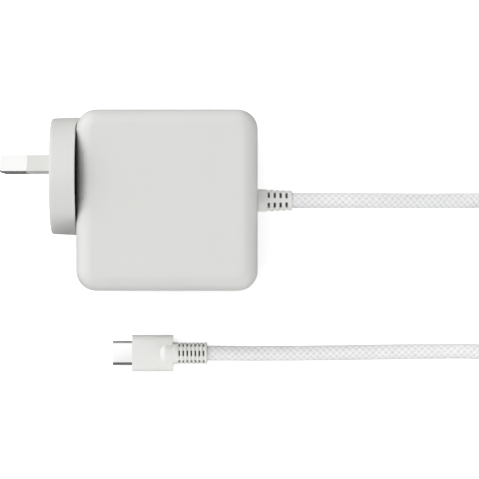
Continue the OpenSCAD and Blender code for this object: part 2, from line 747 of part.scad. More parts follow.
module output_leads() color("firebrick") at_case() {
    face_x = board_x0 + shrink * output_face_x;
    for (y = [-1, 1], z = [-1, 1]) translate([face_x, 2 * y * lead_r, 2 * z * lead_r]) along_x()
        cylinder(r = lead_r, h = cord_root_x - face_x);
}

// ---- cord, boot and coil ----

// End of the cord inside the boot and the case
module cord_root() color(white) at_case() translate([cord_root_x, 0, 0]) along_x()
    cylinder(r = cord_r, h = boot_reach - cord_root_x);

// Windows round a boot, rows of them along it
module windows(start, pitch, rows, count, across, length, outer_r, phase) {
    inner_r = cord_r + 2 * fit_gap;
    for (i = [0:rows - 1], k = [0:count - 1]) translate([start + i * pitch, 0, 0])
        rotate([phase + k * 360 / count, 0, 0])
            translate([-across / 2, -length / 2, inner_r]) cube([across, length, outer_r - inner_r + 1]);
}

module cord_boot() color(pale) at_case() difference() {
    start_x = right_x + boot_gap;
    bore_r = cord_r + fit_gap;
    seat_x = right_x - wall;
    along_x() rotate_extrude() polygon(concat(
        [[bore_r, seat_x - boot_flange_t], [boot_flange_d / 2, seat_x - boot_flange_t],
            [boot_flange_d / 2, seat_x], [boot_neck_d / 2, seat_x], [boot_neck_d / 2, start_x],
            [boot_d / 2, start_x]],
        arc([boot_end_d / 2 - boot_end_r, boot_reach - boot_end_r], boot_end_r, 0, 90),
        [[bore_r, boot_reach]]));
    translate([start_x, 0, 0])
        windows(boot_ring_start, boot_ring_pitch, boot_rings, boot_windows, boot_window_w, boot_window_len,
            boot_d / 2, 30);
}

function unit(v) = v / norm(v);
function heading(path, i) = unit(path[min(i + 1, len(path) - 1)] - path[max(i - 1, 0)]);
function ring(centre, ahead, r, sides) =
    let (side = unit(cross(ahead, [0, 0, 1])), up = cross(side, ahead))
    [for (k = [0:sides - 1]) let (a = 360 * k / sides) centre + r * (sin(a) * side - cos(a) * up)];

// A tube swept along a path, as one closed skin of triangles
module tube(path, r, sides) {
    last = len(path) - 1;
    skin = [for (i = [0:last]) each ring(path[i], heading(path, i), r, sides)];
    walls = [for (i = [0:last - 1], k = [0:sides - 1])
        let (a = i * sides + k, b = i * sides + (k + 1) % sides)
            each [[a, b, b + sides], [a, b + sides, a + sides]]];
    start_cap = [for (k = [1:sides - 2]) [0, k + 1, k]];
    end_cap = [for (k = [1:sides - 2]) last * sides * [1, 1, 1] + [0, k, k + 1]];
    polyhedron(skin, concat(walls, start_cap, end_cap));
}

function from_exit(route) = [for (p = route) [exit_x + p[0], p[1], p[2]]];

// One point of the coil: t counts turns, clockwise seen from above, starting at the far side
function coil_point(t) =
    let (climb = t - coil_turns, out = t - coil_turns - 0.5, angle = 90 - 360 * t)
    let (r = climb < 0 ? coil_r - coil_pitch * t
            : out < 0 ? coil_inner_r - coil_pitch * climb * (1 - 2 * climb)
            : coil_inner_r + coil_pitch * out,
        z = climb < 0 ? coil_low_z : out < 0 ? coil_low_z + coil_pitch * 2 * climb : coil_high_z)
    [coil_x + r * cos(angle), coil_y + r * sin(angle), z];

coil_rings = (2 * coil_turns + 0.5) * rings_per_turn;
coil_path = concat([[coil_x - cord_d, coil_y + coil_r, coil_low_z]],
    [for (i = [0:coil_rings]) coil_point(i / rings_per_turn)],
    [[coil_x - cord_d, coil_y - coil_r, coil_high_z]]);

function path_length(path) =
    [for (i = 0, sum = 0; i < len(path); sum = sum + (i < len(path) - 1 ? norm(path[i + 1] - path[i]) : 0),
        i = i + 1) sum][len(path) - 1];
coil_gap = min([for (i = [0:len(coil_path) - 1], j = [i + rings_per_turn / 2:len(coil_path) - 1])
    norm(coil_path[j] - coil_path[i])]) - cord_d;
echo(coil_least_gap = coil_gap);
echo(cord_length = path_length(from_exit(run_out_route)) + path_length(coil_path)
    + path_length(from_exit(run_back_route)));

module cord_run_out() color(white) tube(from_exit(run_out_route), cord_r, cord_sides);
module cord_coil() color(white) tube(coil_path, cord_r, coil_sides);
module cord_run_back() color(white) tube(from_exit(run_back_route), cord_r, cord_sides);

// Strap round one side of the coil
module cord_tie() color("gray") translate([coil_x, coil_y, 0]) rotate([90, 0, tie_angle])
    linear_extrude(tie_w, center = true) difference() {
        least_r = coil_inner_r - coil_pitch / 8 - cord_r;
        inner_r = sqrt(least_r * least_r - tie_w * tie_w / 4) - tie_gap;
        outer_r = coil_r + cord_r + tie_gap;
        top = coil_high_z + cord_r + tie_gap;
        translate([(inner_r + outer_r) / 2, (top + tie_t) / 2])
            rounded_rect(outer_r - inner_r + 2 * tie_t, top + tie_t, 3);
        translate([(inner_r + outer_r) / 2, (top + tie_t) / 2])
            rounded_rect(outer_r - inner_r, top - tie_t, 3 - tie_t);
    }

// ---- USB-C plug: x runs from the boot's end, back towards the mouth ----

module usb_boot() color(pale) at_usb() difference() {
    r = usb_boot_d / 2;
    first = collar_len + rib_flank;
    groove_x = [for (i = [0:usb_grooves - 1]) -usb_boot_len + first + i * usb_groove_pitch];
    along_x() rotate_extrude() polygon(concat(
        [[cord_r + fit_gap, 0], [cord_r + fit_gap, -usb_boot_len], [r - 0.1, -usb_boot_len],
            [r, -usb_boot_len + 0.1]],
        [for (x = groove_x) each [[r, x - rib_flank], [r - usb_ring_depth, x - usb_window_w / 2],
            [r - usb_ring_depth, x + usb_window_w / 2], [r, x + rib_flank]]],
        [[r, -0.3], [r - 0.3, 0]]));
    translate([-usb_boot_len, 0, 0])
        windows(first, usb_groove_pitch, usb_grooves, 6, usb_window_w, usb_window_len, r, 0);
}

// Flat stadium across the plug, width first
module flat_ring(w, t) {
    square([t, w - t], center = true);
    for (s = [-1, 1]) translate([0, s * (w - t) / 2]) circle(d = t);
}

module usb_grip() color(white) at_usb() difference() {
    nose_r = usb_boot_d / 2;
    rear = -usb_boot_len;
    nose_flat = nose_len - sqrt(nose_r * nose_r - grip_t * grip_t / 4);
    union() {
        translate([grip_x0, 0, 0]) along_x() linear_extrude(grip_len) rounded_rect(grip_t, grip_w, grip_r);
        intersection() {
            along_x() rotate_extrude() polygon(concat([[0, rear], [nose_r, rear]],
                arc([0, rear - nose_flat], nose_r, 0, -90)));
            span([rear - grip_len, -grip_w, -grip_t], [rear, grip_w, grip_t]);
        }
    }
    translate([grip_x0 - 1, 0, 0]) along_x() linear_extrude(shell_root + 1)
        flat_ring(shell_w + 2 * fit_gap, shell_h + 2 * fit_gap);
    span([grip_x0 + shell_root - eps, -paddle_w / 2 - fit_gap, -pocket_h / 2],
        [grip_x0 + shell_root + paddle_len + fit_gap, paddle_w / 2 + fit_gap, pocket_h / 2]);
    translate([jacket_x - 1, 0, 0]) along_x() cylinder(r = jacket_r + fit_gap, h = 3);
    translate([jacket_x + 1, 0, 0]) along_x() cylinder(r = cord_r + fit_gap, h = grip_len);
}

module usb_cord_end() color(white) at_usb() {
    translate([jacket_x, 0, 0]) along_x() cylinder(r = jacket_r, h = 1);
    translate([jacket_x + 1, 0, 0]) along_x() cylinder(r = cord_r, h = -jacket_x - 1);
    for (y = [-3:2:3]) translate([jacket_x - 1.6, y * 0.45, paddle_t / 2 + 0.4]) along_x()
        cylinder(r = 0.4, h = 2);
}

module usb_paddle_board() color("seagreen") at_usb()
    span([grip_x0 + shell_root, -paddle_w / 2, -paddle_t / 2],
        [grip_x0 + shell_root + paddle_len, paddle_w / 2, paddle_t / 2]);

module usb_shell() color(steel) at_usb() translate([grip_x0 - shell_len, 0, 0]) along_x()
    linear_extrude(shell_len + shell_root) difference() {
        flat_ring(shell_w, shell_h);
        flat_ring(shell_w - 2 * shell_wall, shell_h - 2 * shell_wall);
    }

module usb_insert() color(black) at_usb() translate([grip_x0 - shell_len, 0, 0]) difference() {
    translate([0.3, 0, 0]) along_x() linear_extrude(shell_len + shell_root - 0.3)
        flat_ring(shell_w - 2 * shell_wall, shell_h - 2 * shell_wall);
    span([-1, -mouth_w / 2, -mouth_h / 2], [mouth_depth, mouth_w / 2, mouth_h / 2]);
}

// Two rows of contacts on the mouth's upper and lower faces
module usb_contacts() color("gold") at_usb() translate([grip_x0 - shell_len, 0, 0])
    for (i = [0:contact_count - 1], s = [-1, 1]) {
        y = (i - (contact_count - 1) / 2) * contact_step;
        near = s * mouth_h / 2;
        far = s * (mouth_h / 2 - 0.15);
        span([1, y - contact_w / 2, min(near, far)], [mouth_depth, y + contact_w / 2, max(near, far)]);
    }

// ---- plug head ----

// Solid turned about the head's axis: x grows towards the wall from the case side
module turned() at_head() translate([disc_rear_x, 0, 0]) rotate([0, -90, 0]) rotate_extrude() children();

module at_pins() at_head() for (a = [-pin_angle, pin_angle]) rotate([a, 0, 0])
    translate([0, pin_circle_r, 0]) rotate([90, 0, 0]) children();

// Part of the cover that reaches back beside the case's rounded corner
module corner_horn() difference() {
    intersection() {
        at_head() translate([disc_rear_x - horn_overlap, 0, 0]) rotate([0, 90, 0])
            cylinder(h = horn_overlap + corner_r, r = disc_d / 2 - horn_inset);
        span([disc_rear_x - 2 * horn_overlap, case_h / 2 - corner_r, -disc_d],
            [left_x + corner_r, case_h, disc_d]);
    }
    linear_extrude(3 * disc_d, center = true)
        rounded_rect(case_w + 2 * horn_gap, case_h + 2 * horn_gap, corner_r + horn_gap);
}

module plug_cover() color(white) at_case() difference() {
    union() {
        turned() polygon(concat([[0, 0]],
            arc([disc_d / 2 - disc_rear_r, disc_rear_r], disc_rear_r, -90, 0),
            arc([disc_d / 2 - disc_draft - disc_edge_r, disc_t - disc_edge_r], disc_edge_r, 0, 90),
            [[0, disc_t]]));
        corner_horn();
    }
    turned() translate([0, -1]) square([cover_bore_r, back_t + 1]);
    turned() square([cover_bore_r - ledge_w, disc_t - disc_face_t]);
    at_pins() span([disc_front_x - 1, -pin_w / 2 - fit_gap, -pin_t / 2 - fit_gap],
        [root_x + 1, pin_w / 2 + fit_gap, pin_t / 2 + fit_gap]);
}

// Rail: neck, wings under the case's lips, and a cap that fills the slot's open end
module rail_solid() {
    at_head() {
        span([disc_rear_x - back_recess - eps, -neck_w / 2, rail_bottom_z],
            [left_x + rail_reach, neck_w / 2, cap_base_z]);
        span([left_x + rail_lip_t + rail_gap, -rail_w / 2, rail_bottom_z],
            [left_x + rail_reach, rail_w / 2, cap_base_z + eps]);
    }
    intersection() {
        at_head() span([left_x, -rail_w / 2, cap_base_z], [left_x + rail_reach, rail_w / 2, case_t]);
        rotate([90, 0, 0]) linear_extrude(case_h, center = true) rounded_rect(case_w, case_t, edge_r);
    }
}

module contact_grooves(half) at_head() for (s = [-1, 1]) translate([0, s * contact_pitch / 2, 0])
    span([left_x + rail_reach - groove_depth, -half, rail_bottom_z - 1],
        [left_x + rail_reach + 1, half, groove_top]);

// Legs of the two contact tabs: the nearer one for the front pin, the lower one for the rear pin
leg_places = [[contact_pitch / 2, front_bar_low + leg_half + 0.1],
    [-contact_pitch / 2, rear_bar_high - leg_half - 0.3]];

module tab_legs(gap) at_head() for (p = leg_places) translate([0, p[0], p[1]])
    span([bar_x, -strip_w / 2 - gap, -leg_half - gap],
        [left_x + rail_reach - groove_depth + strip_t / 2, strip_w / 2 + gap, leg_half + gap]);

module plug_back() color(white) at_case() difference() {
    union() {
        turned() translate([0, back_recess]) square([cover_bore_r - fit_gap, back_t - back_recess]);
        rail_solid();
    }
    contact_grooves(strip_w / 2 + 0.4);
    tab_legs(fit_gap);
}

// Blade, thinner core inside the sleeve, and a block at its root
module mains_pins() color(steel) at_case() at_pins() {
    tip_x = disc_front_x - pin_len;
    neck_x = disc_front_x - sleeve_len;
    translate([0, 0, -pin_t / 2]) linear_extrude(pin_t) {
        translate([tip_x + pin_tip_r, -pin_w / 2]) square([pin_len - sleeve_len - pin_tip_r, pin_w]);
        translate([tip_x, -pin_w / 2 + pin_tip_r]) square([pin_tip_r + eps, pin_w - 2 * pin_tip_r]);
        for (s = [-1, 1]) translate([tip_x + pin_tip_r, s * (pin_w / 2 - pin_tip_r)]) circle(pin_tip_r);
    }
    span([neck_x - eps, -pin_core_w / 2, -pin_core_t / 2], [root_x + eps, pin_core_w / 2, pin_core_t / 2]);
    span([root_x, -pin_w / 2, -pin_root_t / 2], [bar_x, pin_w / 2, pin_root_t / 2]);
}

module pin_sleeves() color(white) at_case() at_pins() difference() {
    span([disc_front_x - sleeve_len, -pin_w / 2, -pin_t / 2], [root_x, pin_w / 2, pin_t / 2]);
    span([disc_front_x - sleeve_len - 1, -pin_core_w / 2, -pin_core_t / 2],
        [root_x + 1, pin_core_w / 2, pin_core_t / 2]);
}

// Bars from the pins' roots, legs through the back plate, and strips in the rail's grooves
module contact_tabs() color("gold") at_case() {
    pin_y = pin_circle_r * cos(pin_angle);
    pin_z = pin_circle_r * sin(pin_angle);
    at_head() {
        span([bar_x, contact_pitch / 2 - bar_half, front_bar_low],
            [bar_x + bar_t, pin_y + bar_half, pin_z + bar_half / 2]);
        span([bar_x, -contact_pitch / 2 - bar_half, -pin_z - bar_half / 2],
            [bar_x + bar_t, pin_y + bar_half, rear_bar_high]);
        for (s = [-1, 1]) translate([0, s * contact_pitch / 2, 0])
            span([strip_face_x - strip_t, -strip_w / 2, rail_bottom_z + 0.5],
                [strip_face_x, strip_w / 2, groove_top - 0.5]);
    }
    tab_legs(0);
}

front_shell();
rear_shell();
front_insulator();
rear_insulator();
heat_spreader();
front_gap_pad();
rear_gap_pad();
main_board();
fuse();
inrush_thermistor();
surge_varistor();
film_capacitor();
choke_core();
choke_windings();
filter_inductor();
bridge_rectifier();
bulk_capacitors();
transformer_core();
transformer_bobbin();
transformer_winding();
power_transistor();
primary_heatsink();
safety_capacitor();
optocoupler();
output_capacitors();
output_inductor();
output_board();
control_chips();
contact_springs();
input_leads();
output_leads();
cord_root();
cord_boot();
cord_run_out();
cord_coil();
cord_tie();
cord_run_back();
usb_boot();
usb_cord_end();
usb_grip();
usb_paddle_board();
usb_shell();
usb_insert();
usb_contacts();
plug_cover();
plug_back();
mains_pins();
pin_sleeves();
contact_tabs();
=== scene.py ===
import math

import bmesh
import bpy
from mathutils import Matrix, Vector


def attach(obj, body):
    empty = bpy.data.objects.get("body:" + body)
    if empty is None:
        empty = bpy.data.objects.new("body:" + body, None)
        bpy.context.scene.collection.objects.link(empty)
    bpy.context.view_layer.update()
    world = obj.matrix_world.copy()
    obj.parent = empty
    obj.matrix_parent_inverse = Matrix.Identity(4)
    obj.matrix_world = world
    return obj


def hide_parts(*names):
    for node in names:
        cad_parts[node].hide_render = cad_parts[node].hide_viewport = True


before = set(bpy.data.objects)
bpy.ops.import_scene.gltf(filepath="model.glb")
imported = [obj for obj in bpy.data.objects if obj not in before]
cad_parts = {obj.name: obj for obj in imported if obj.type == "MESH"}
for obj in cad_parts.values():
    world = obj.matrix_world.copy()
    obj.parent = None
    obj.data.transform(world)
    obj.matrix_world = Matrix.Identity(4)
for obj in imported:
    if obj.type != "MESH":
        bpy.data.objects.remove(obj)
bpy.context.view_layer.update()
bpy.context.scene.view_settings.view_transform = "Standard"
print("frame loaded")


# camera

view = {"x": 0.03139, "y": -0.0132, "z": 1.15, "lens": 251.0, "near": 0.1, "far": 20}

bpy.ops.object.camera_add(location=(view["x"], view["y"], view["z"]), rotation=(0, 0, 0))
camera = bpy.context.object
camera.name = "viewCamera"
camera.data.lens = view["lens"]
camera.data.clip_start = view["near"]
camera.data.clip_end = view["far"]
bpy.context.scene.camera = camera
print("camera set")


# helpers for modelling

past = 0.001  # how far a cutter reaches past the surface that it cuts
same = 1e-6  # places closer than this are the same place


def useAlone(piece):
    bpy.ops.object.select_all(action="DESELECT")
    piece.select_set(True)
    bpy.context.view_layer.objects.active = piece


def startEdit(piece):
    useAlone(piece)
    bpy.ops.object.mode_set(mode="EDIT")


def endEdit():
    bpy.ops.object.mode_set(mode="OBJECT")


def pick(piece, kind, test):
    # selects the faces, edges or vertices that pass the test, and nothing else
    bpy.ops.mesh.select_mode(type=kind)
    bpy.ops.mesh.select_all(action="DESELECT")
    mesh = bmesh.from_edit_mesh(piece.data)
    mesh.normal_update()
    parts = {"VERT": mesh.verts, "EDGE": mesh.edges, "FACE": mesh.faces}[kind]
    for part in parts:
        if test(part):
            part.select_set(True)
    mesh.select_flush_mode()
    bmesh.update_edit_mesh(piece.data)


def middle(part):
    # centre of an edge or a face
    if isinstance(part, bmesh.types.BMFace):
        return part.calc_center_median()
    return (part.verts[0].co + part.verts[1].co) / 2


def runsAlong(edge, axis, length):
    # whether an edge reaches further than a length along X, Y or Z
    ends = edge.verts[0].co - edge.verts[1].co
    return abs(ends["XYZ".index(axis)]) > length


def addBox(name, low, high):
    centre = [(a + b) / 2 for a, b in zip(low, high)]
    bpy.ops.object.select_all(action="DESELECT")
    bpy.ops.mesh.primitive_cube_add(size=1, location=centre)
    piece = bpy.context.object
    piece.name = name
    piece.scale = [b - a for a, b in zip(low, high)]
    bpy.ops.object.transform_apply(location=True, rotation=True, scale=True)
    return piece


def addBarX(name, x0, x1, y, z, radius, sides):
    # round bar along X
    bpy.ops.object.select_all(action="DESELECT")
    bpy.ops.mesh.primitive_cylinder_add(vertices=sides, radius=radius, depth=x1 - x0,
                                        location=((x0 + x1) / 2, y, z), rotation=(0, math.pi / 2, 0))
    piece = bpy.context.object
    piece.name = name
    bpy.ops.object.transform_apply(location=True, rotation=True, scale=True)
    return piece


def spinProfile(name, points, y, z, steps, start=0):
    # turns a profile of (x, radius) points about an axis along X
    mesh = bpy.data.meshes.new(name)
    turn = Matrix.Rotation(start, 3, "X")
    corners = [turn @ Vector((x, 0, r)) + Vector((0, y, z)) for x, r in points]
    mesh.from_pydata(corners, [(i, i + 1) for i in range(len(points) - 1)], [])
    piece = bpy.data.objects.new(name, mesh)
    bpy.context.scene.collection.objects.link(piece)
    startEdit(piece)
    bpy.ops.mesh.select_all(action="SELECT")
    bpy.ops.mesh.spin(steps=steps, angle=2 * math.pi, center=(0, y, z), axis=(1, 0, 0))
    bpy.ops.mesh.select_all(action="SELECT")
    bpy.ops.mesh.remove_doubles(threshold=same)
    bpy.ops.mesh.normals_make_consistent(inside=False)
    endEdit()
    return piece


def runModifier(piece, kind, **settings):
    useAlone(piece)
    modifier = piece.modifiers.new(kind.lower(), kind)
    for setting, value in settings.items():
        setattr(modifier, setting, value)
    bpy.ops.object.modifier_apply(modifier=modifier.name)


def cut(piece, *cutters, operation="DIFFERENCE"):
    for cutter in cutters:
        runModifier(piece, "BOOLEAN", object=cutter, operation=operation, solver="EXACT")
        bpy.data.objects.remove(cutter)


def smooth(piece, angle=35, width=0, segments=2):
    # small rounded edges, then smooth faces that keep their sharp edges
    if width:
        runModifier(piece, "BEVEL", width=width, segments=segments, limit_method="ANGLE",
                    angle_limit=math.radians(angle), use_clamp_overlap=True)
    useAlone(piece)
    bpy.ops.object.shade_smooth_by_angle(angle=math.radians(angle + 5))
    runModifier(piece, "WEIGHTED_NORMAL", keep_sharp=True, weight=60)


# cord: from the boot to the coil, round it, and back to the plug

cordData = {
    "diameter": 0.0051, "length": 2.0, "exitX": 0.04918, "exitZ": 0.0199, "step": 0.0016, "sides": 28,
    "coilX": 0.17518, "coilY": -0.0262, "coilRadius": 0.044, "pitch": 0.0056, "turns": 4,
    "lowZ": 0.00365, "highZ": 0.00925, "pointsPerTurn": 24, "startAngle": 90, "climbTurn": 0.5,
    "curveSteps": 12, "sharp": 60,
}

# distance from the boot's end, then y and z, in millimetres
routeOut = [(0, 0, 19.9), (7, 0, 19.9), (16, 0, 19.6), (26, 0, 18), (36, 0, 14.8), (46, 0, 10.9),
            (56, 0.1, 7.2), (66, 0.3, 4.4), (76, 1.8, 3), (86, 4.9, 2.55), (96, 9.4, 2.55), (105, 14, 2.75),
            (113, 17, 3.25), (120.9, 17.8, 3.65)]
routeBack = [(120.9, -70.2, 9.25), (112, -69.3, 8.4), (103, -66.8, 6.6), (94, -62.8, 4.6), (86, -58.6, 3.2),
             (78, -54.9, 2.65), (70, -52.4, 2.55), (61, -51.6, 2.55), (50, -51.6, 2.55), (38, -51.75, 2.55),
             (26, -51.9, 2.55), (14, -52.1, 2.55), (2, -52.25, 2.55), (-9, -52.3, 2.6), (-17, -52.3, 3.15),
             (-23, -52.2, 3.6), (-28.9, -52.2, 3.7)]


def coilPoint(turn):
    d = cordData
    climb = turn - d["turns"]
    inner = d["coilRadius"] - d["turns"] * d["pitch"]
    if climb < 0:
        radius, height = d["coilRadius"] - d["pitch"] * turn, d["lowZ"]
    elif climb < d["climbTurn"]:
        share = climb / d["climbTurn"]
        radius, height = inner - d["pitch"] * climb * (1 - share), d["lowZ"] + d["pitch"] * share
    else:
        radius, height = inner + d["pitch"] * (climb - d["climbTurn"]), d["highZ"]
    angle = math.radians(d["startAngle"] - 360 * turn)
    return Vector((d["coilX"] + radius * math.cos(angle), d["coilY"] + radius * math.sin(angle), height))


def smoothPath(points, step, curveSteps):
    # even points on a smooth curve through the given ones
    dense = []
    for i in range(len(points) - 1):
        p0, p1, p2, p3 = (points[max(0, min(len(points) - 1, i + k))] for k in (-1, 0, 1, 2))
        for j in range(curveSteps):
            t = j / curveSteps
            dense.append(0.5 * (2 * p1 + (p2 - p0) * t + (2 * p0 - 5 * p1 + 4 * p2 - p3) * t * t
                                + (3 * p1 - p0 - 3 * p2 + p3) * t ** 3))
    dense.append(points[-1])
    travel = [0]
    for a, b in zip(dense, dense[1:]):
        travel.append(travel[-1] + (b - a).length)
    count = round(travel[-1] / step)
    even, k = [], 0
    for i in range(count + 1):
        goal = travel[-1] * i / count
        while k < len(dense) - 2 and travel[k + 1] < goal:
            k += 1
        share = (goal - travel[k]) / (travel[k + 1] - travel[k])
        even.append(dense[k].lerp(dense[k + 1], min(1, share)))
    return even


def tubeAlong(name, path, radius, sides, sharp):
    # round tube with a map: along it in metres, and once round it
    steps = [0]
    for a, b in zip(path, path[1:]):
        steps.append(steps[-1] + (b - a).length)
    side = None
    corners, faces = [], []
    for i, point in enumerate(path):
        ahead = (path[min(i + 1, len(path) - 1)] - path[max(i - 1, 0)]).normalized()
        side = ahead.cross(Vector((0, 0, 1))).normalized() if side is None else (
            side - ahead * side.dot(ahead)).normalized()
        up = side.cross(ahead)
        for k in range(sides):
            angle = 2 * math.pi * k / sides
            corners.append(point + radius * (math.cos(angle) * side + math.sin(angle) * up))
    last = len(path) - 1
    for i in range(last):
        for k in range(sides):
            a, b = i * sides + k, i * sides + (k + 1) % sides
            faces.append((a, a + sides, b + sides, b))
    faces.append(tuple(range(sides)))
    faces.append(tuple(last * sides + k for k in reversed(range(sides))))
    mesh = bpy.data.meshes.new(name)
    mesh.from_pydata(corners, [], faces)
    layer = mesh.uv_layers.new(name="cordMap")
    for number, face in enumerate(mesh.polygons):
        i, k = divmod(number, sides)
        spots = [(i, k), (i + 1, k), (i + 1, k + 1), (i, k + 1)]
        for corner, loop in enumerate(face.loop_indices):
            if number < last * sides:
                ring, turn = spots[corner]
                layer.data[loop].uv = (steps[ring], turn / sides)
    piece = bpy.data.objects.new(name, mesh)
    bpy.context.scene.collection.objects.link(piece)
    startEdit(piece)
    bpy.ops.mesh.select_all(action="SELECT")
    bpy.ops.mesh.normals_make_consistent(inside=False)
    endEdit()
    useAlone(piece)
    bpy.ops.object.shade_smooth_by_angle(angle=math.radians(sharp))
    return piece


def cordPath():
    d = cordData
    fromExit = lambda route: [Vector((d["exitX"] + x / 1000, y / 1000, z / 1000)) for x, y, z in route]
    turns = 2 * d["turns"] + d["climbTurn"]
    count = int(turns * d["pointsPerTurn"])
    coil = [coilPoint(turns * i / count) for i in range(count + 1)]
    return smoothPath(fromExit(routeOut) + coil + fromExit(routeBack), d["step"], d["curveSteps"])


cordLine = cordPath()
cord = tubeAlong("braidedCord", cordLine, cordData["diameter"] / 2, cordData["sides"], cordData["sharp"])
print("cord made,", round(sum((b - a).length for a, b in zip(cordLine, cordLine[1:])), 3), "m")


# strap round the coil

tieData = {
    "angle": 65, "width": 0.010, "thickness": 0.0008, "gap": 0.0003, "corner": 0.003, "cornerSteps": 6,
    "tail": 0.016, "tailStart": 0.004, "tailWidth": 0.98, "tailSink": 0.00002, "tailThickness": 0.8,
    "tailCorner": 0.003, "tailCornerSteps": 5, "soft": 0.0002, "sharp": 35,
}


def makeTie():
    d, c = tieData, cordData
    least = c["coilRadius"] - c["turns"] * c["pitch"] - c["pitch"] / 8 - c["diameter"] / 2
    inner = math.sqrt(least ** 2 - d["width"] ** 2 / 4) - d["gap"]
    outer = c["coilRadius"] + c["diameter"] / 2 + d["gap"]
    top = c["highZ"] + c["diameter"] / 2 + d["gap"] + d["thickness"]
    half = d["width"] / 2
    piece = addBox("coilStrap", (inner - d["thickness"], -half, 0), (outer + d["thickness"], half, top))
    startEdit(piece)
    pick(piece, "FACE", lambda f: abs(f.normal.y) > 0.9)
    bpy.ops.mesh.delete(type="ONLY_FACE")
    pick(piece, "EDGE", lambda e: runsAlong(e, "Y", half))
    bpy.ops.mesh.bevel(offset=d["corner"], segments=d["cornerSteps"], affect="EDGES", clamp_overlap=False)
    endEdit()
    runModifier(piece, "SOLIDIFY", thickness=d["thickness"], offset=-1, use_even_offset=True)
    start, side = inner + d["tailStart"], half * d["tailWidth"]
    flap = addBox("strapTail", (start, -side, top - d["tailSink"]),
                  (start + d["tail"], side, top + d["thickness"] * d["tailThickness"]))
    startEdit(flap)
    pick(flap, "EDGE", lambda e: runsAlong(e, "Z", same) and middle(e).x > start + d["tail"] / 2)
    bpy.ops.mesh.bevel(offset=d["tailCorner"], segments=d["tailCornerSteps"], affect="EDGES")
    endEdit()
    for strip in (piece, flap):
        smooth(strip, d["sharp"], d["soft"])
        strip.data.transform(Matrix.Translation((c["coilX"], c["coilY"], 0))
                             @ Matrix.Rotation(math.radians(d["angle"]), 4, "Z"))
    return piece, flap


strap, strapTail = makeTie()
print("strap made")


# case: two halves with a rail slot in the left side

caseData = {
    "x": 0.00708, "z": 0.0199, "half": 0.0304, "halfThickness": 0.016, "corner": 0.00675, "edge": 0.00525,
    "wall": 0.0022, "headY": 0.0082, "slotHalf": 0.008325, "mouthHalf": 0.0065, "slotDepth": 0.0026,
    "lip": 0.0012, "lipTop": 0.009, "stop": 0.0118, "backWall": 0.0016, "blockUnder": 0.0001,
    "capHalf": 0.008125, "capDepth": 0.0023, "capGap": 0.00004,
    "slitPitch": 0.008, "slitWidth": 0.0023, "slitZ": 0.0026, "slitHeight": 0.0004,
    "bootHole": 0.00325, "bootHoleDepth": 0.004, "partingBevel": 0.00014, "sharp": 38,
    "cornerSteps": 16, "edgeSteps": 14, "holeSides": 48, "joinOverlap": 1e-5,
}


def slotCutters():
    # the mouth between the lips, the slot behind them, and a close fit for the rail's cap above them
    d = caseData
    left, z, y = d["x"] - d["half"], d["z"], d["headY"]
    floor = left + d["slotDepth"]
    capHalf, overlap = d["capHalf"] + d["capGap"], d["joinOverlap"]
    boxes = [((left - past, y - d["mouthHalf"], z - d["stop"]),
              (left + d["lip"] + overlap, y + d["mouthHalf"], z + d["lipTop"])),
             ((left + d["lip"], y - d["slotHalf"], z - d["stop"]),
              (floor, y + d["slotHalf"], z + d["lipTop"])),
             ((left - past, y - capHalf, z + d["lipTop"] - overlap),
              (left + d["capDepth"] + d["capGap"], y + capHalf, z + 2 * d["halfThickness"]))]
    slitLow, slitHigh = z + d["slitZ"], z + d["slitZ"] + d["slitHeight"]
    for side in (-1, 1):
        centre = y + side * d["slitPitch"] / 2
        boxes.append(((floor - past, centre - d["slitWidth"] / 2, slitLow),
                      (floor + d["backWall"] + past, centre + d["slitWidth"] / 2, slitHigh)))
    return [addBox("slotCutter", low, high) for low, high in boxes]


def makeCaseHalf(name, side):
    d = caseData
    left, right = d["x"] - d["half"], d["x"] + d["half"]
    outside = d["z"] + side * d["halfThickness"]
    piece = addBox(name, (left, -d["half"], min(d["z"], outside)), (right, d["half"], max(d["z"], outside)))
    startEdit(piece)
    pick(piece, "EDGE", lambda e: runsAlong(e, "Z", same))
    bpy.ops.mesh.bevel(offset=d["corner"], segments=d["cornerSteps"], affect="EDGES", clamp_overlap=False)
    pick(piece, "EDGE", lambda e: abs(middle(e).z - outside) < same)
    bpy.ops.mesh.bevel(offset=d["edge"], segments=d["edgeSteps"], affect="EDGES", clamp_overlap=False)
    pick(piece, "FACE", lambda f: abs(middle(f).z - d["z"]) < same)
    bpy.ops.mesh.delete(type="FACE")
    endEdit()
    runModifier(piece, "SOLIDIFY", thickness=d["wall"], offset=-1, use_even_offset=True)
    inner = outside - side * (d["wall"] + d["blockUnder"])  # inside the wall's rounded edge
    reach = d["slotHalf"] + d["backWall"]
    block = addBox("slotBlock", (left + d["lip"], d["headY"] - reach, min(d["z"], inner)),
                   (left + d["slotDepth"] + d["backWall"], d["headY"] + reach, max(d["z"], inner)))
    cut(piece, block, operation="UNION")
    cut(piece, *slotCutters())
    cut(piece, addBarX("bootHole", right - d["bootHoleDepth"], right + past, 0, d["z"], d["bootHole"],
                       d["holeSides"]))
    smooth(piece, d["sharp"], d["partingBevel"])
    return piece


caseFront = makeCaseHalf("caseFront", 1)
caseRear = makeCaseHalf("caseRear", -1)
print("case made")


# plug head: a round cover that the pins pass through

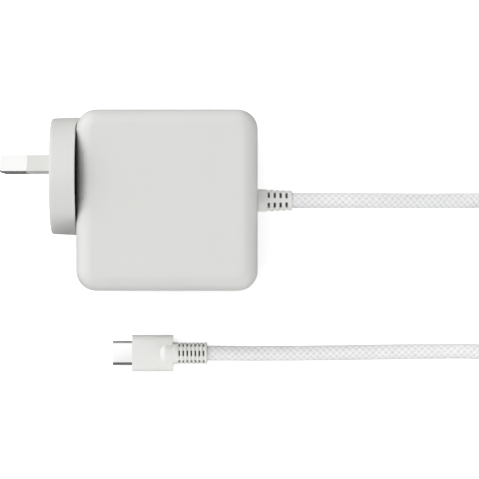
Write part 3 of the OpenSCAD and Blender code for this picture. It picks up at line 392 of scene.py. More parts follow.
headData = {
    "rearX": -0.02352, "thickness": 0.0086, "y": 0.0082, "z": 0.0199, "radius": 0.0199, "draft": 0.00035,
    "wallEdge": 0.0009, "rearEdge": 0.0004, "bore": 0.01755, "backDepth": 0.0022, "ledge": 0.001,
    "face": 0.0024, "pinRadius": 0.00792, "pinAngle": 60, "pinWidth": 0.00635, "pinThickness": 0.00163,
    # the margin by which the painted shade inside the head's rim reaches past the rim's plane and the back
    # plate
    "slotGap": 0.00009, "hornInset": 0.00005, "hornGap": 0.0003, "hornOverlap": 0.001, "paintedShadeOver": 0.00005,
    "sides": 160, "wallSteps": 8, "rearSteps": 4, "hornSteps": 24, "soft": 0.00015, "sharp": 38,
}


def makePlugCover():
    d = headData
    wallX = d["rearX"] - d["thickness"]
    axis = (0, d["y"], d["z"])
    piece = addBarX("plugCover", wallX, d["rearX"], d["y"], d["z"], d["radius"], d["sides"])
    startEdit(piece)
    pick(piece, "VERT", lambda v: v.co.x < wallX + same)
    shrink = 1 - d["draft"] / d["radius"]
    bpy.ops.transform.resize(value=(1, shrink, shrink), center_override=axis)
    pick(piece, "EDGE", lambda e: middle(e).x < wallX + same)
    bpy.ops.mesh.bevel(offset=d["wallEdge"], segments=d["wallSteps"], affect="EDGES")
    pick(piece, "EDGE", lambda e: middle(e).x > d["rearX"] - same)
    bpy.ops.mesh.bevel(offset=d["rearEdge"], segments=d["rearSteps"], affect="EDGES")
    pick(piece, "FACE", lambda f: f.normal.x > 0.99 and len(f.verts) == d["sides"])
    bpy.ops.mesh.inset(thickness=d["radius"] - d["rearEdge"] - d["bore"])
    bpy.ops.mesh.extrude_region_move(TRANSFORM_OT_translate={"value": (-d["backDepth"], 0, 0)})
    bpy.ops.mesh.inset(thickness=d["ledge"])
    bpy.ops.mesh.extrude_region_move(
        TRANSFORM_OT_translate={"value": (d["backDepth"] + d["face"] - d["thickness"], 0, 0)})
    endEdit()
    across, up = d["pinWidth"] / 2 + d["slotGap"], d["pinThickness"] / 2 + d["slotGap"]
    for side in (-1, 1):
        hole = addBox("pinSlot", (wallX - 2 * past, d["pinRadius"] - across, -up),
                      (wallX + d["face"] + 2 * past, d["pinRadius"] + across, up))
        hole.data.transform(Matrix.Translation(axis) @ pinTurn(side))
        cut(piece, hole)
    cut(piece, makeCornerHorn(), operation="UNION")
    smooth(piece, d["sharp"], d["soft"])
    return piece


def makeCornerHorn():
    # the part of the cover that reaches back beside the case's rounded corner
    d, c = headData, caseData
    start, side, end = d["rearX"] - d["hornOverlap"], c["half"] - c["corner"], d["rearX"] + c["corner"]
    low, high = d["z"] - 1.5 * d["radius"], d["z"] + 1.5 * d["radius"]
    horn = addBarX("cornerHorn", start, end, d["y"], d["z"], d["radius"] - d["hornInset"], d["sides"])
    cut(horn, addBox("hornBlock", (start - past, side, low), (end, c["half"], high)), operation="INTERSECT")
    half = c["half"] + d["hornGap"]
    outline = addBox("caseOutline", (c["x"] - half, -half, low), (c["x"] + half, half, high))
    startEdit(outline)
    pick(outline, "EDGE", lambda e: runsAlong(e, "Z", same))
    bpy.ops.mesh.bevel(offset=c["corner"] + d["hornGap"], segments=d["hornSteps"], affect="EDGES",
                       clamp_overlap=False)
    endEdit()
    bore = addBarX("hornBore", start - past, d["rearX"] + past, d["y"], d["z"], d["bore"], d["sides"])
    cut(horn, outline, bore)
    return horn


def pinTurn(side):
    # turns a slot whose width lies along Y: on edge about its own centre, then round the plug head's axis
    d = headData
    onEdge = (Matrix.Translation((0, d["pinRadius"], 0)) @ Matrix.Rotation(math.pi / 2, 4, "X")
              @ Matrix.Translation((0, -d["pinRadius"], 0)))
    return Matrix.Rotation(math.radians(side * d["pinAngle"]), 4, "X") @ onEdge


plugCover = makePlugCover()
print("plug head made")


# boots on the cord

bootData = {
    "baseX": 0.03758, "length": 0.0116, "radius": 0.00385, "endRadius": 0.00335, "endEdge": 0.0004,
    "bore": 0.0026, "mouth": 0.00285, "rings": [0.0037, 0.0057, 0.0077, 0.0097], "windowWidth": 0.0008,
    "windowHalfAngle": 16, "sideHalfAngle": 21, "windowsRound": 6, "windowFloor": 0.0022, "flange": 0.005,
    "neck": 0.0032, "innerWall": 0.03528, "flangeThickness": 0.0018, "mouthDepth": 0.0012,
    "baseEdge": 0.0002, "endSteps": 4, "steps": 120, "startAngle": 1.5, "soft": 0.00007, "sharp": 35,
}


def windowCutters(y, z, places, width, halfAngle, sideAngle, phase, radius):
    # blocks round the boot at each place along it, joined to one cutter that reaches into the bore
    blocks = []
    count = bootData["windowsRound"]
    for place in places:
        for turn in range(count):
            angle = 360 / count * turn + phase
            level = abs(angle % 180 - 90) < 1
            half = radius * math.sin(math.radians(sideAngle if level else halfAngle))
            block = addBox("windowCutter", (place - width / 2, -half, bootData["windowFloor"]),
                           (place + width / 2, half, radius + past))
            turned = Matrix.Rotation(math.radians(angle), 4, "X")
            block.data.transform(Matrix.Translation((0, y, z)) @ turned)
            blocks.append(block)
    useAlone(blocks[0])
    for block in blocks:
        block.select_set(True)
    bpy.ops.object.join()
    return blocks[0]


def makeCordBoot():
    d = bootData
    base, end = d["baseX"], d["baseX"] + d["length"]
    slope = (d["endRadius"] - d["radius"]) / d["length"]
    outside = lambda x: d["radius"] + slope * (x - base)
    half = d["windowWidth"] / 2
    wall, root, mouth = d["innerWall"], d["innerWall"] - d["flangeThickness"], end - d["mouthDepth"]
    profile = [(mouth, d["bore"]), (root, d["bore"]), (root, d["flange"]), (wall, d["flange"]),
               (wall, d["neck"]), (base, d["neck"]), (base, d["radius"] - d["baseEdge"]),
               (base + d["baseEdge"], d["radius"])]
    for ring in d["rings"]:
        for x in (base + ring - half, base + ring + half):
            profile.append((x, outside(x)))
    edge = d["endEdge"]
    for i in range(d["endSteps"] + 1):
        angle = math.radians(90 * i / d["endSteps"])
        profile.append((end - edge + edge * math.sin(angle), outside(end) - edge + edge * math.cos(angle)))
    profile += [(end, d["mouth"]), (mouth, d["bore"])]
    piece = spinProfile("cordBoot", profile, 0, caseData["z"], d["steps"], math.radians(d["startAngle"]))
    places = [base + ring for ring in d["rings"]]
    phase = 180 / d["windowsRound"]
    cut(piece, windowCutters(0, caseData["z"], places, d["windowWidth"], d["windowHalfAngle"],
                             d["sideHalfAngle"], phase, d["radius"]))
    smooth(piece, d["sharp"], d["soft"])
    return piece


usbData = {
    "endX": 0.02028, "y": -0.0522, "z": 0.0037, "bootRadius": 0.0037, "bootLength": 0.0117, "bore": 0.0026,
    "mouth": 0.0029, "collar": 0.00175, "grooves": 7, "pitch": 0.00138, "windowWidth": 0.00055,
    "flank": 0.00045, "ringDepth": 0.0003, "windowHalfAngle": 15, "steps": 120, "mouthDepth": 0.001,
    "baseEdge": 0.0001, "endEdge": 0.0003, "bootSoft": 0.00006, "bootSharp": 35,
    "gripLength": 0.014, "gripWidth": 0.0124, "gripThickness": 0.0046, "gripEdge": 0.0022, "gripSteps": 10,
    "gripBore": 0.004, "gripSoft": 0.00025, "gripSharp": 30, "noseLength": 0.0044, "noseBlunt": 0.72,
    "noseSteps": 15, "noseSides": 64,
    "shellLength": 0.0067, "shellWidth": 0.00825, "shellThickness": 0.0024, "shellWall": 0.0003,
    "shellRoot": 0.0016, "shellGap": 0.00005, "shellSides": 48, "shellSoft": 0.00012, "shellSharp": 35,
    "pocketSteps": 8, "softSteps": 3,
}


def makeUsbBoot():
    d = usbData
    end, base = d["endX"], d["endX"] - d["bootLength"]
    r = d["bootRadius"]
    places = [base + d["collar"] + d["flank"] + i * d["pitch"] for i in range(d["grooves"])]
    small, edge, mouth = d["baseEdge"], d["endEdge"], end - d["mouthDepth"]
    profile = [(mouth, d["bore"]), (base, d["bore"]), (base, r - small), (base + small, r)]
    for x in places:
        half = d["windowWidth"] / 2
        profile += [(x - d["flank"], r), (x - half, r - d["ringDepth"]), (x + half, r - d["ringDepth"]),
                    (x + d["flank"], r)]
    profile += [(end - edge, r), (end - small, r - small), (end, r - edge), (end, d["mouth"]),
                (mouth, d["bore"])]
    piece = spinProfile("usbBoot", profile, d["y"], d["z"], d["steps"])
    cut(piece, windowCutters(d["y"], d["z"], places, d["windowWidth"], d["windowHalfAngle"],
                             d["windowHalfAngle"], 0, r))
    smooth(piece, d["bootSharp"], d["bootSoft"])
    return piece


cordBoot = makeCordBoot()
usbBoot = makeUsbBoot()
print("boots made")


# plug: moulded grip and metal shell

def makeUsbGrip():
    d = usbData
    rear = d["endX"] - d["bootLength"]
    front = rear - d["gripLength"]
    y, z = d["y"], d["z"]
    piece = addBox("usbGrip", (front, y - d["gripWidth"] / 2, z - d["gripThickness"] / 2),
                   (rear, y + d["gripWidth"] / 2, z + d["gripThickness"] / 2))
    startEdit(piece)
    pick(piece, "EDGE", lambda e: runsAlong(e, "X", same))
    bpy.ops.mesh.bevel(offset=d["gripEdge"], segments=d["gripSteps"], affect="EDGES", clamp_overlap=False)
    endEdit()
    r = d["bootRadius"]
    blunt = d["noseBlunt"]
    flat = d["noseLength"] - blunt * math.sqrt(r * r - (d["gripThickness"] / 2) ** 2)
    profile = [(rear, 0), (rear, r - d["baseEdge"]), (rear - d["baseEdge"], r)]
    for i in range(d["noseSteps"]):
        angle = math.radians(90 * i / d["noseSteps"])
        profile.append((rear - flat - blunt * r * math.sin(angle), r * math.cos(angle)))
    profile.append((rear - flat - blunt * r, 0))
    nose = spinProfile("nose", profile, y, z, d["noseSides"])
    cut(piece, nose, operation="UNION")
    across, up = d["shellWidth"] / 2 + d["shellGap"], d["shellThickness"] / 2 + d["shellGap"]
    pocket = addBox("shellPocket", (front - past, y - across, z - up),
                    (front + d["shellRoot"], y + across, z + up))
    startEdit(pocket)
    pick(pocket, "EDGE", lambda e: runsAlong(e, "X", same))
    bpy.ops.mesh.bevel(offset=d["shellThickness"] / 2, segments=d["pocketSteps"], affect="EDGES")
    endEdit()
    cut(piece, pocket)
    cut(piece, addBarX("cordBore", rear - d["gripBore"], rear + past, y, z, d["bore"], d["shellSides"]))
    smooth(piece, d["gripSharp"], d["gripSoft"], d["softSteps"])
    return piece


def makeUsbShell():
    d = usbData
    back = d["endX"] - d["bootLength"] - d["gripLength"]
    tip = back - d["shellLength"]
    y, z = d["y"], d["z"]
    shift = (d["shellWidth"] - d["shellThickness"]) / 2
    piece = addBarX("usbShell", tip, back + d["shellRoot"], y, z, d["shellThickness"] / 2, d["shellSides"])
    startEdit(piece)
    for side in (-1, 1):
        pick(piece, "VERT", lambda v: (v.co.y - y) * side > same)
        bpy.ops.transform.translate(value=(0, side * shift, 0))
    pick(piece, "FACE", lambda f: f.normal.x < -0.9)
    bpy.ops.mesh.inset(thickness=d["shellWall"])
    bpy.ops.mesh.extrude_region_move(
        TRANSFORM_OT_translate={"value": (d["shellLength"] + d["shellRoot"] - d["baseEdge"], 0, 0)})
    endEdit()
    smooth(piece, d["shellSharp"], d["shellSoft"], d["softSteps"])
    return piece


usbGrip = makeUsbGrip()
usbShell = makeUsbShell()
print("plug made")


# materials

def newGroup(name, inputs, outputs):
    group = bpy.data.node_groups.new(name, "ShaderNodeTree")
    for label, value in inputs:
        socket = group.interface.new_socket(name=label, in_out="INPUT", socket_type="NodeSocketFloat")
        socket.default_value = value
    for label in outputs:
        group.interface.new_socket(name=label, in_out="OUTPUT", socket_type="NodeSocketFloat")
    return group, group.nodes.new("NodeGroupInput"), group.nodes.new("NodeGroupOutput")


def mathNode(tree, operation, a, b=None, c=None):
    # a Math node; each value is a number or a socket
    node = tree.nodes.new("ShaderNodeMath")
    node.operation = operation
    for socket, value in zip(node.inputs, (a, b, c)):
        if value is None:
            continue
        if isinstance(value, bpy.types.NodeSocket):
            tree.links.new(value, socket)
        else:
            socket.default_value = value
    return node.outputs[0]


def clampNode(tree, value):
    return mathNode(tree, "MINIMUM", mathNode(tree, "MAXIMUM", value, 0), 1)


def noise(tree, coordinates, scale, detail):
    node = tree.nodes.new("ShaderNodeTexNoise")
    node.inputs["Detail"].default_value = detail
    tree.links.new(coordinates, node.inputs["Vector"])
    if isinstance(scale, bpy.types.NodeSocket):
        tree.links.new(scale, node.inputs["Scale"])
    else:
        node.inputs["Scale"].default_value = scale
    return node.outputs["Fac"]


grainData = {"scale": 3500, "patchScale": 60, "fineDetail": 2, "patchDetail": 4, "patchShare": 0.65}
braidData = {
    "pitch": 0.00225, "around": 7, "threads": 2, "crossing": 12, "round": 0.6, "dip": 0.35,
    # shade and low set the painted shade on the strands where they lie low
    "threadRelief": 0.3, "gapSlope": -5, "gapStart": 1.8, "relief": 0.00022, "shade": 0.8, "low": 0.7,
    "sheen": 0.15, "sheenRoughness": 0.5,
}
noiseRange = (0.3, 0.7)
roughSpread = 0.12
brushData = {"scale": 9000, "stretch": 0.02, "detail": 3, "patchScale": 180, "patchShare": 0.4}


def makeGrainGroup():
    # moulded surface: Tone is a soft unevenness, Height the fine spark texture
    inputs = [("Grain Scale", grainData["scale"]), ("Patch Scale", grainData["patchScale"])]
    group, start, end = newGroup("mouldedGrain", inputs, ["Tone", "Height"])
    place = group.nodes.new("ShaderNodeTexCoord").outputs["Object"]
    fine = noise(group, place, start.outputs["Grain Scale"], grainData["fineDetail"])
    patch = noise(group, place, start.outputs["Patch Scale"], grainData["patchDetail"])
    share = grainData["patchShare"]
    tone = mathNode(group, "MULTIPLY_ADD", fine, 1 - share, mathNode(group, "MULTIPLY", patch, share))
    group.links.new(tone, end.inputs["Tone"])
    group.links.new(fine, end.inputs["Height"])
    return group


def makeBraidGroup():
    # two sets of strands that cross, with a small gap at each crossing's corner
    d = braidData
    inputs = [("Pitch", d["pitch"]), ("Around", d["around"]), ("Threads", d["threads"])]
    group, start, end = newGroup("braidWeave", inputs, ["Gap", "Height"])
    place = group.nodes.new("ShaderNodeUVMap")
    place.uv_map = "cordMap"
    parts = group.nodes.new("ShaderNodeSeparateXYZ")
    group.links.new(place.outputs["UV"], parts.inputs[0])
    along = mathNode(group, "DIVIDE", parts.outputs["X"], start.outputs["Pitch"])
    around = mathNode(group, "MULTIPLY", parts.outputs["Y"], start.outputs["Around"])
    a = mathNode(group, "ADD", along, around)
    b = mathNode(group, "SUBTRACT", along, around)
    sineA = mathNode(group, "SINE", mathNode(group, "MULTIPLY", a, math.pi))
    sineB = mathNode(group, "SINE", mathNode(group, "MULTIPLY", b, math.pi))
    over = mathNode(group, "MULTIPLY_ADD", mathNode(group, "MULTIPLY", sineA, sineB), d["crossing"], 0.5)
    over = clampNode(group, over)
    crestA, crestB = mathNode(group, "ABSOLUTE", sineA), mathNode(group, "ABSOLUTE", sineB)

    def strand(across, length):
        rise = mathNode(group, "POWER", across, d["round"])
        dip = mathNode(group, "MULTIPLY_ADD", length, d["dip"], 1 - d["dip"])
        return mathNode(group, "MULTIPLY", rise, dip)

    def threads(across):
        turns = mathNode(group, "MULTIPLY", across, start.outputs["Threads"])
        wave = mathNode(group, "COSINE", mathNode(group, "MULTIPLY", turns, 2 * math.pi))
        return mathNode(group, "MULTIPLY_ADD", wave, 0.5, 0.5)

    def choose(first, second):
        lower = mathNode(group, "MULTIPLY", second, mathNode(group, "SUBTRACT", 1, over))
        return mathNode(group, "MULTIPLY_ADD", first, over, lower)

    thread = choose(threads(a), threads(b))
    height = choose(strand(crestA, crestB), strand(crestB, crestA))
    height = mathNode(group, "MULTIPLY_ADD", thread, d["threadRelief"], height)
    corner = mathNode(group, "MAXIMUM", crestA, crestB)
    gap = clampNode(group, mathNode(group, "MULTIPLY_ADD", corner, d["gapSlope"], d["gapStart"]))
    group.links.new(gap, end.inputs["Gap"])
    group.links.new(height, end.inputs["Height"])
    return group


def makeBrushGroup():
    # fine drawn lines along X on metal
    inputs = [("Line Scale", brushData["scale"]), ("Stretch", brushData["stretch"])]
    group, start, end = newGroup("drawnLines", inputs, ["Tone", "Height"])
    place = group.nodes.new("ShaderNodeTexCoord").outputs["Object"]
    parts = group.nodes.new("ShaderNodeSeparateXYZ")
    group.links.new(place, parts.inputs[0])
    joined = group.nodes.new("ShaderNodeCombineXYZ")
    stretched = mathNode(group, "MULTIPLY", parts.outputs["X"], start.outputs["Stretch"])
    group.links.new(stretched, joined.inputs["X"])
    group.links.new(parts.outputs["Y"], joined.inputs["Y"])
    group.links.new(parts.outputs["Z"], joined.inputs["Z"])
    lines = noise(group, joined.outputs[0], start.outputs["Line Scale"], brushData["detail"])
    patch = noise(group, place, brushData["patchScale"], brushData["detail"])
    share = brushData["patchShare"]
    tone = mathNode(group, "MULTIPLY_ADD", patch, share, mathNode(group, "MULTIPLY", lines, 1 - share))
    group.links.new(tone, end.inputs["Tone"])
    group.links.new(lines, end.inputs["Height"])
    return group


grainGroup = makeGrainGroup()
braidGroup = makeBraidGroup()
brushGroup = makeBrushGroup()


def startMaterial(name, group, values):
    material = bpy.data.materials.new(name)
    material.use_nodes = True
    tree = material.node_tree
    tree.nodes.clear()
    output = tree.nodes.new("ShaderNodeOutputMaterial")
    shader = tree.nodes.new("ShaderNodeBsdfPrincipled")
    tree.links.new(shader.outputs[0], output.inputs["Surface"])
    effect = tree.nodes.new("ShaderNodeGroup")
    effect.node_tree = group
    for label, value in values.items():
        effect.inputs[label].default_value = value
    return material, tree, shader, effect


def between(tree, factor, first, second):
    # colour between two; each is a colour or a socket
    node = tree.nodes.new("ShaderNodeMix")
    node.data_type = "RGBA"
    tree.links.new(factor, node.inputs["Factor"])
    for label, colour in (("A", first), ("B", second)):
        if isinstance(colour, bpy.types.NodeSocket):
            tree.links.new(colour, node.inputs[label])
        else:
            node.inputs[label].default_value = (*colour, 1)
    return node.outputs["Result"]


def rangeOf(tree, value, low, high):
    # spreads the middle of a noise over a range
    node = tree.nodes.new("ShaderNodeMapRange")
    node.inputs["From Min"].default_value = noiseRange[0]
    node.inputs["From Max"].default_value = noiseRange[1]
    node.inputs["To Min"].default_value = low
    node.inputs["To Max"].default_value = high
    tree.links.new(value, node.inputs["Value"])
    return node.outputs["Result"]


def addBump(tree, shader, height, distance):
    bump = tree.nodes.new("ShaderNodeBump")
    bump.inputs["Strength"].default_value = 1
    bump.inputs["Distance"].default_value = distance
    tree.links.new(height, bump.inputs["Height"])
    tree.links.new(bump.outputs["Normal"], shader.inputs["Normal"])


def surface(name, colour, roughness, metallic=0.0, spread=0.04, grain=grainData["scale"], bump=0.000006,
            patch=grainData["patchScale"], group=None):
    # a moulded, drawn or cast surface: colour and roughness vary a little over it
    values = {"Line Scale": grain} if group is brushGroup else {"Grain Scale": grain, "Patch Scale": patch}
    material, tree, shader, effect = startMaterial(name, group or grainGroup, values)
    tone = effect.outputs["Tone"]
    dark, light = [c * (1 - spread) for c in colour], [min(1, c * (1 + spread)) for c in colour]
    tree.links.new(between(tree, rangeOf(tree, tone, 0, 1), dark, light), shader.inputs["Base Color"])
    smoother, rougher = roughness * (1 - roughSpread), min(1, roughness * (1 + roughSpread))
    tree.links.new(rangeOf(tree, tone, smoother, rougher), shader.inputs["Roughness"])
    shader.inputs["Metallic"].default_value = metallic
    addBump(tree, shader, effect.outputs["Height"], bump)
    return material


def braid(name, thread, gap, roughness):
    # woven cloth with painted shade: darker where the strands lie low, and darkest in the gaps between them
    d = braidData
    material, tree, shader, effect = startMaterial(name, braidGroup, {})
    height = effect.outputs["Height"]
    share = mathNode(tree, "MULTIPLY", height, d["shade"])
    cloth = between(tree, share, [c * d["low"] for c in thread], thread)
    tree.links.new(between(tree, effect.outputs["Gap"], cloth, gap), shader.inputs["Base Color"])
    shader.inputs["Roughness"].default_value = roughness
    shader.inputs["Sheen Weight"].default_value = d["sheen"]
    shader.inputs["Sheen Roughness"].default_value = d["sheenRoughness"]
    addBump(tree, shader, height, d["relief"])
    return material


colours = {
    "case": (0.657, 0.66, 0.64), "head": (0.657, 0.66, 0.64), "sleeve": (0.665, 0.668, 0.648),
    # boot and plug are lighter than the case's plastic; part of that is painted light, raised to make up
    # for the light the case blocks from them
    "boot": (0.8, 0.805, 0.78), "plug": (0.8, 0.805, 0.78), "thread": (0.97, 0.97, 0.975),
    # the head's inside colour is painted shade: near black, standing in for the shadow inside the plug
    # head's rim
    "gap": (0.45, 0.45, 0.46), "strap": (0.42, 0.42, 0.415), "headInsideShade": (0.012, 0.012, 0.012),
}


def paintInsideShade(material, colour):
    # painted shade where the plug head faces the case: inside its rim, from the rim's plane to the back
    # plate, the colour goes near black to stand in for the deep shadow in the gap between head and case
    d = headData
    tree = material.node_tree
    shader = tree.nodes["Principled BSDF"]
    outside = shader.inputs["Base Color"].links[0].from_socket
    place = tree.nodes.new("ShaderNodeTexCoord").outputs["Object"]
    parts = tree.nodes.new("ShaderNodeSeparateXYZ")
    tree.links.new(place, parts.inputs[0])
    across = tree.nodes.new("ShaderNodeVectorMath")
    across.operation = "MULTIPLY"
    across.inputs[1].default_value = (0, 1, 1)
    tree.links.new(place, across.inputs[0])
    reach = tree.nodes.new("ShaderNodeVectorMath")
    reach.operation = "DISTANCE"
    reach.inputs[1].default_value = (0, d["y"], d["z"])
    tree.links.new(across.outputs[0], reach.inputs[0])
    inside = mathNode(tree, "LESS_THAN", reach.outputs["Value"], d["radius"] - d["rearEdge"])
    front, back = d["rearX"] + d["paintedShadeOver"], d["rearX"] - d["backDepth"] - d["paintedShadeOver"]
    for test, x in (("LESS_THAN", front), ("GREATER_THAN", back)):
        inside = mathNode(tree, "MULTIPLY", inside, mathNode(tree, test, parts.outputs["X"], x))
    tree.links.new(between(tree, inside, outside, colour), shader.inputs["Base Color"])
    return material


materials = {
    "casePlastic": surface("casePlastic", colours["case"], 0.42, spread=0.012, bump=0.000004),
    # the head's plastic carries painted shade inside its rim, where it faces the case
    "headPlastic": paintInsideShade(surface("headPlastic", colours["head"], 0.42, spread=0.012, bump=0.000004),
                                colours["headInsideShade"]),
    "sleevePlastic": surface("sleevePlastic", colours["sleeve"], 0.38, spread=0.01, bump=0.000002),
    "bootElastomer": surface("bootElastomer", colours["boot"], 0.55, spread=0.02, bump=0.000004),
    "plugPlastic": surface("plugPlastic", colours["plug"], 0.38, spread=0.012, bump=0.000003),
    "cordBraid": braid("cordBraid", colours["thread"], colours["gap"], 0.7),
    "cordJacket": surface("cordJacket", (0.1, 0.1, 0.1), 0.6),
    "strapFabric": surface("strapFabric", colours["strap"], 0.85, spread=0.2, grain=2600, bump=0.00012),
    "platedSteel": surface("platedSteel", (0.93, 0.93, 0.925), 0.13, 1.0, group=brushGroup, spread=0.02,
                           bump=0.0000015),
    "pinBrass": surface("pinBrass", (0.95, 0.95, 0.94), 0.2, 1.0, group=brushGroup, spread=0.02,
                        bump=0.0000015),
    "contactMetal": surface("contactMetal", (0.83, 0.62, 0.25), 0.28, 1.0, spread=0.05),
    "insulatorBlack": surface("insulatorBlack", (0.02, 0.02, 0.021), 0.45, spread=0.15),
    "film": surface("film", (0.75, 0.7, 0.55), 0.5, spread=0.08),
    "aluminium": surface("aluminium", (0.8, 0.8, 0.81), 0.32, 1.0, group=brushGroup, spread=0.04),
    "gapPad": surface("gapPad", (0.45, 0.52, 0.6), 0.8, spread=0.08, grain=1500),
    "circuitBoard": surface("circuitBoard", (0.02, 0.16, 0.06), 0.35, spread=0.25, grain=900, patch=400),
    "componentBody": surface("componentBody", (0.03, 0.03, 0.03), 0.5, spread=0.2),
    "componentBlue": surface("componentBlue", (0.05, 0.15, 0.42), 0.4, spread=0.1),
    "componentYellow": surface("componentYellow", (0.75, 0.45, 0.06), 0.4, spread=0.1),
    "ferrite": surface("ferrite", (0.05, 0.05, 0.055), 0.7, spread=0.2, grain=1200, bump=0.00002),
    "winding": surface("winding", (0.72, 0.33, 0.12), 0.3, 0.8, spread=0.15, grain=1800, bump=0.00006),
    "can": surface("can", (0.06, 0.07, 0.12), 0.3, spread=0.1),
    "wireInsulation": surface("wireInsulation", (0.45, 0.04, 0.03), 0.45, spread=0.08),
}
print("materials made")


def dress(piece, material):
    piece.data.materials.clear()
    piece.data.materials.append(materials[material])


softData = {"flatAngle": 0.5, "edgeAngle": 40, "segments": 2}


def softenNode(name, width):
    # small rounded edges and smooth faces on a model node, kept as modifiers
    d = softData
    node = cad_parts[name]
    for face in node.data.polygons:
        face.use_smooth = True
    weld = node.modifiers.new("weld", "WELD")
    weld.merge_threshold = same
    flat = node.modifiers.new("flat", "DECIMATE")
    flat.decimate_type = "DISSOLVE"
    flat.angle_limit = math.radians(d["flatAngle"])
    if width:
        edges = node.modifiers.new("edges", "BEVEL")
        edges.width = width
        edges.segments = d["segments"]
        edges.limit_method = "ANGLE"
        edges.angle_limit = math.radians(d["edgeAngle"])
    split = node.modifiers.new("split", "EDGE_SPLIT")
    split.split_angle = math.radians(d["edgeAngle"])
    normals = node.modifiers.new("normals", "WEIGHTED_NORMAL")
    normals.keep_sharp = True


nodeLooks = {
    "front_insulator": "film", "rear_insulator": "film", "heat_spreader": "aluminium",
    "front_gap_pad": "gapPad", "rear_gap_pad": "gapPad", "main_board": "circuitBoard",
    "fuse": "componentBody", "inrush_thermistor": "ferrite", "surge_varistor": "componentBlue",
    "film_capacitor": "componentYellow",
    "choke_core": "ferrite", "choke_windings": "winding", "filter_inductor": "ferrite",
    "bridge_rectifier": "componentBody", "bulk_capacitors": "can", "transformer_core": "ferrite",
    "transformer_bobbin": "insulatorBlack", "transformer_winding": "winding",
    "power_transistor": "componentBody", "primary_heatsink": "aluminium",
    "safety_capacitor": "componentBlue", "optocoupler": "componentBody",
    "output_capacitors": "can", "output_inductor": "ferrite", "output_board": "circuitBoard",
    "control_chips": "componentBody", "contact_springs": "contactMetal", "input_leads": "wireInsulation",
    "output_leads": "wireInsulation", "cord_root": "cordJacket", "usb_cord_end": "cordJacket",
    "usb_paddle_board": "circuitBoard", "usb_insert": "insulatorBlack", "usb_contacts": "contactMetal",
    "plug_back": "headPlastic", "mains_pins": "pinBrass", "pin_sleeves": "sleevePlastic",
    "contact_tabs": "contactMetal",
}
nodeEdges = {"plug_back": 0.00012, "mains_pins": 0.00012, "pin_sleeves": 0.0001, "contact_springs": 0.00005}

for name, look in nodeLooks.items():
    dress(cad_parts[name], look)
    softenNode(name, nodeEdges.get(name, 0))

looks = [(caseFront, "casePlastic", "case_plastic", "adapter", ["front_shell"]),
         (caseRear, "casePlastic", "case_plastic", "adapter", ["rear_shell"]),
         (plugCover, "headPlastic", "head_plastic", "plug_head", ["plug_cover"]),
         (cordBoot, "bootElastomer", "boot_elastomer", "adapter", ["cord_boot"]),
         (usbBoot, "bootElastomer", "boot_elastomer", "adapter", ["usb_boot"]),
         (usbGrip, "plugPlastic", "plug_plastic", "adapter", ["usb_grip"]),
         (usbShell, "platedSteel", "plated_steel", "adapter", ["usb_shell"]),
         (cord, "cordBraid", "cord_braid", "adapter", ["cord_run_out", "cord_coil", "cord_run_back"]),
         (strap, "strapFabric", "tie_fabric", "adapter", ["cord_tie"]),
         (strapTail, "strapFabric", "tie_fabric", "adapter", [])]

for piece, look, slot, body, nodes in looks:
    dress(piece, look)
    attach(piece, body)
    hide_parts(*nodes)

print("pieces dressed")


# floor, lights and sky

stageData = {"floorSize": 14, "floorGlow": 0.56, "floorBounce": 0.16, "skyBase": 0.03, "skySeen": 0.9}

# soft lights in the sky: where each one stands, in degrees, how narrow it is and how strong
skyLights = [
    {"round": 60, "up": 15, "narrow": 10, "strength": 2.0},
    {"round": 90, "up": 32, "narrow": 14, "strength": 0.6},
    {"round": 150, "up": 15, "narrow": 10, "strength": 3.25},
    {"round": 210, "up": 15, "narrow": 10, "strength": 2.4},
    {"round": 300, "up": 5, "narrow": 20, "strength": 7.8},
    {"round": 330, "up": 15, "narrow": 10, "strength": 1.45},
    {"round": 135, "up": 50, "narrow": 14, "strength": 2.15},
    {"round": 120, "up": 70, "narrow": 20, "strength": 1.3},
    {"round": 180, "up": 70, "narrow": 20, "strength": 1.65},
]


def showTo(tree, seen, unseen, output):
    # one shader for the camera, another for light that falls on the object
    mix = tree.nodes.new("ShaderNodeMixShader")
    tree.links.new(tree.nodes.new("ShaderNodeLightPath").outputs["Is Camera Ray"], mix.inputs["Fac"])
    tree.links.new(unseen.outputs[0], mix.inputs[1])
    tree.links.new(seen.outputs[0], mix.inputs[2])
    tree.links.new(mix.outputs[0], output.inputs["Surface"])


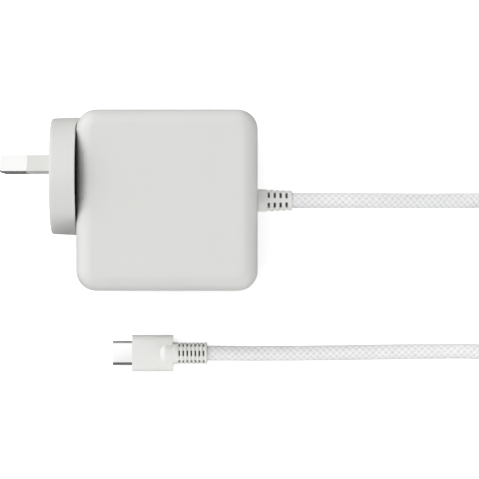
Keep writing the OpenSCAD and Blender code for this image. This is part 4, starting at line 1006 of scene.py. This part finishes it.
bpy.ops.object.select_all(action="DESELECT")
bpy.ops.mesh.primitive_plane_add(size=stageData["floorSize"], location=(0, 0, 0))
floor = bpy.context.object
floor.name = "floor"
floorMaterial = surface("floorPaper", (0.9, 0.9, 0.9), 0.8, spread=0.002, grain=400, bump=0.00001, patch=3)
floorTree = floorMaterial.node_tree
floorShader = floorTree.nodes["Principled BSDF"]
floorShader.inputs["Emission Color"].default_value = (1, 1, 1, 1)
floorShader.inputs["Emission Strength"].default_value = stageData["floorGlow"]
floorShader.inputs["Specular IOR Level"].default_value = 0
bounce = floorTree.nodes.new("ShaderNodeBsdfDiffuse")  # what the floor sends back up at the object
bounce.inputs["Color"].default_value = (*[stageData["floorBounce"]] * 3, 1)
showTo(floorTree, floorShader, bounce, floorTree.nodes["Material Output"])
floor.data.materials.append(floorMaterial)

sky = bpy.data.worlds.new("studioSky")
bpy.context.scene.world = sky
sky.use_nodes = True
skyTree = sky.node_tree
background = skyTree.nodes["Background"]
background.inputs["Color"].default_value = (1, 1, 1, 1)
direction = skyTree.nodes.new("ShaderNodeTexCoord").outputs["Generated"]
skyGlow = stageData["skyBase"]
for light in skyLights:
    turn, rise = math.radians(light["round"]), math.radians(light["up"])
    towards = (math.cos(turn) * math.cos(rise), math.sin(turn) * math.cos(rise), math.sin(rise))
    facing = skyTree.nodes.new("ShaderNodeVectorMath")
    facing.operation = "DOT_PRODUCT"
    facing.inputs[1].default_value = towards
    skyTree.links.new(direction, facing.inputs[0])
    spot = mathNode(skyTree, "MAXIMUM", facing.outputs["Value"], 0)
    spot = mathNode(skyTree, "POWER", spot, light["narrow"])
    skyGlow = mathNode(skyTree, "MULTIPLY_ADD", spot, light["strength"], skyGlow)
skyTree.links.new(skyGlow, background.inputs["Strength"])
seen = skyTree.nodes.new("ShaderNodeBackground")  # what a view sees beyond the floor
seen.inputs["Color"].default_value = (1, 1, 1, 1)
seen.inputs["Strength"].default_value = stageData["skySeen"]
showTo(skyTree, seen, background, skyTree.nodes["World Output"])
print("stage made")
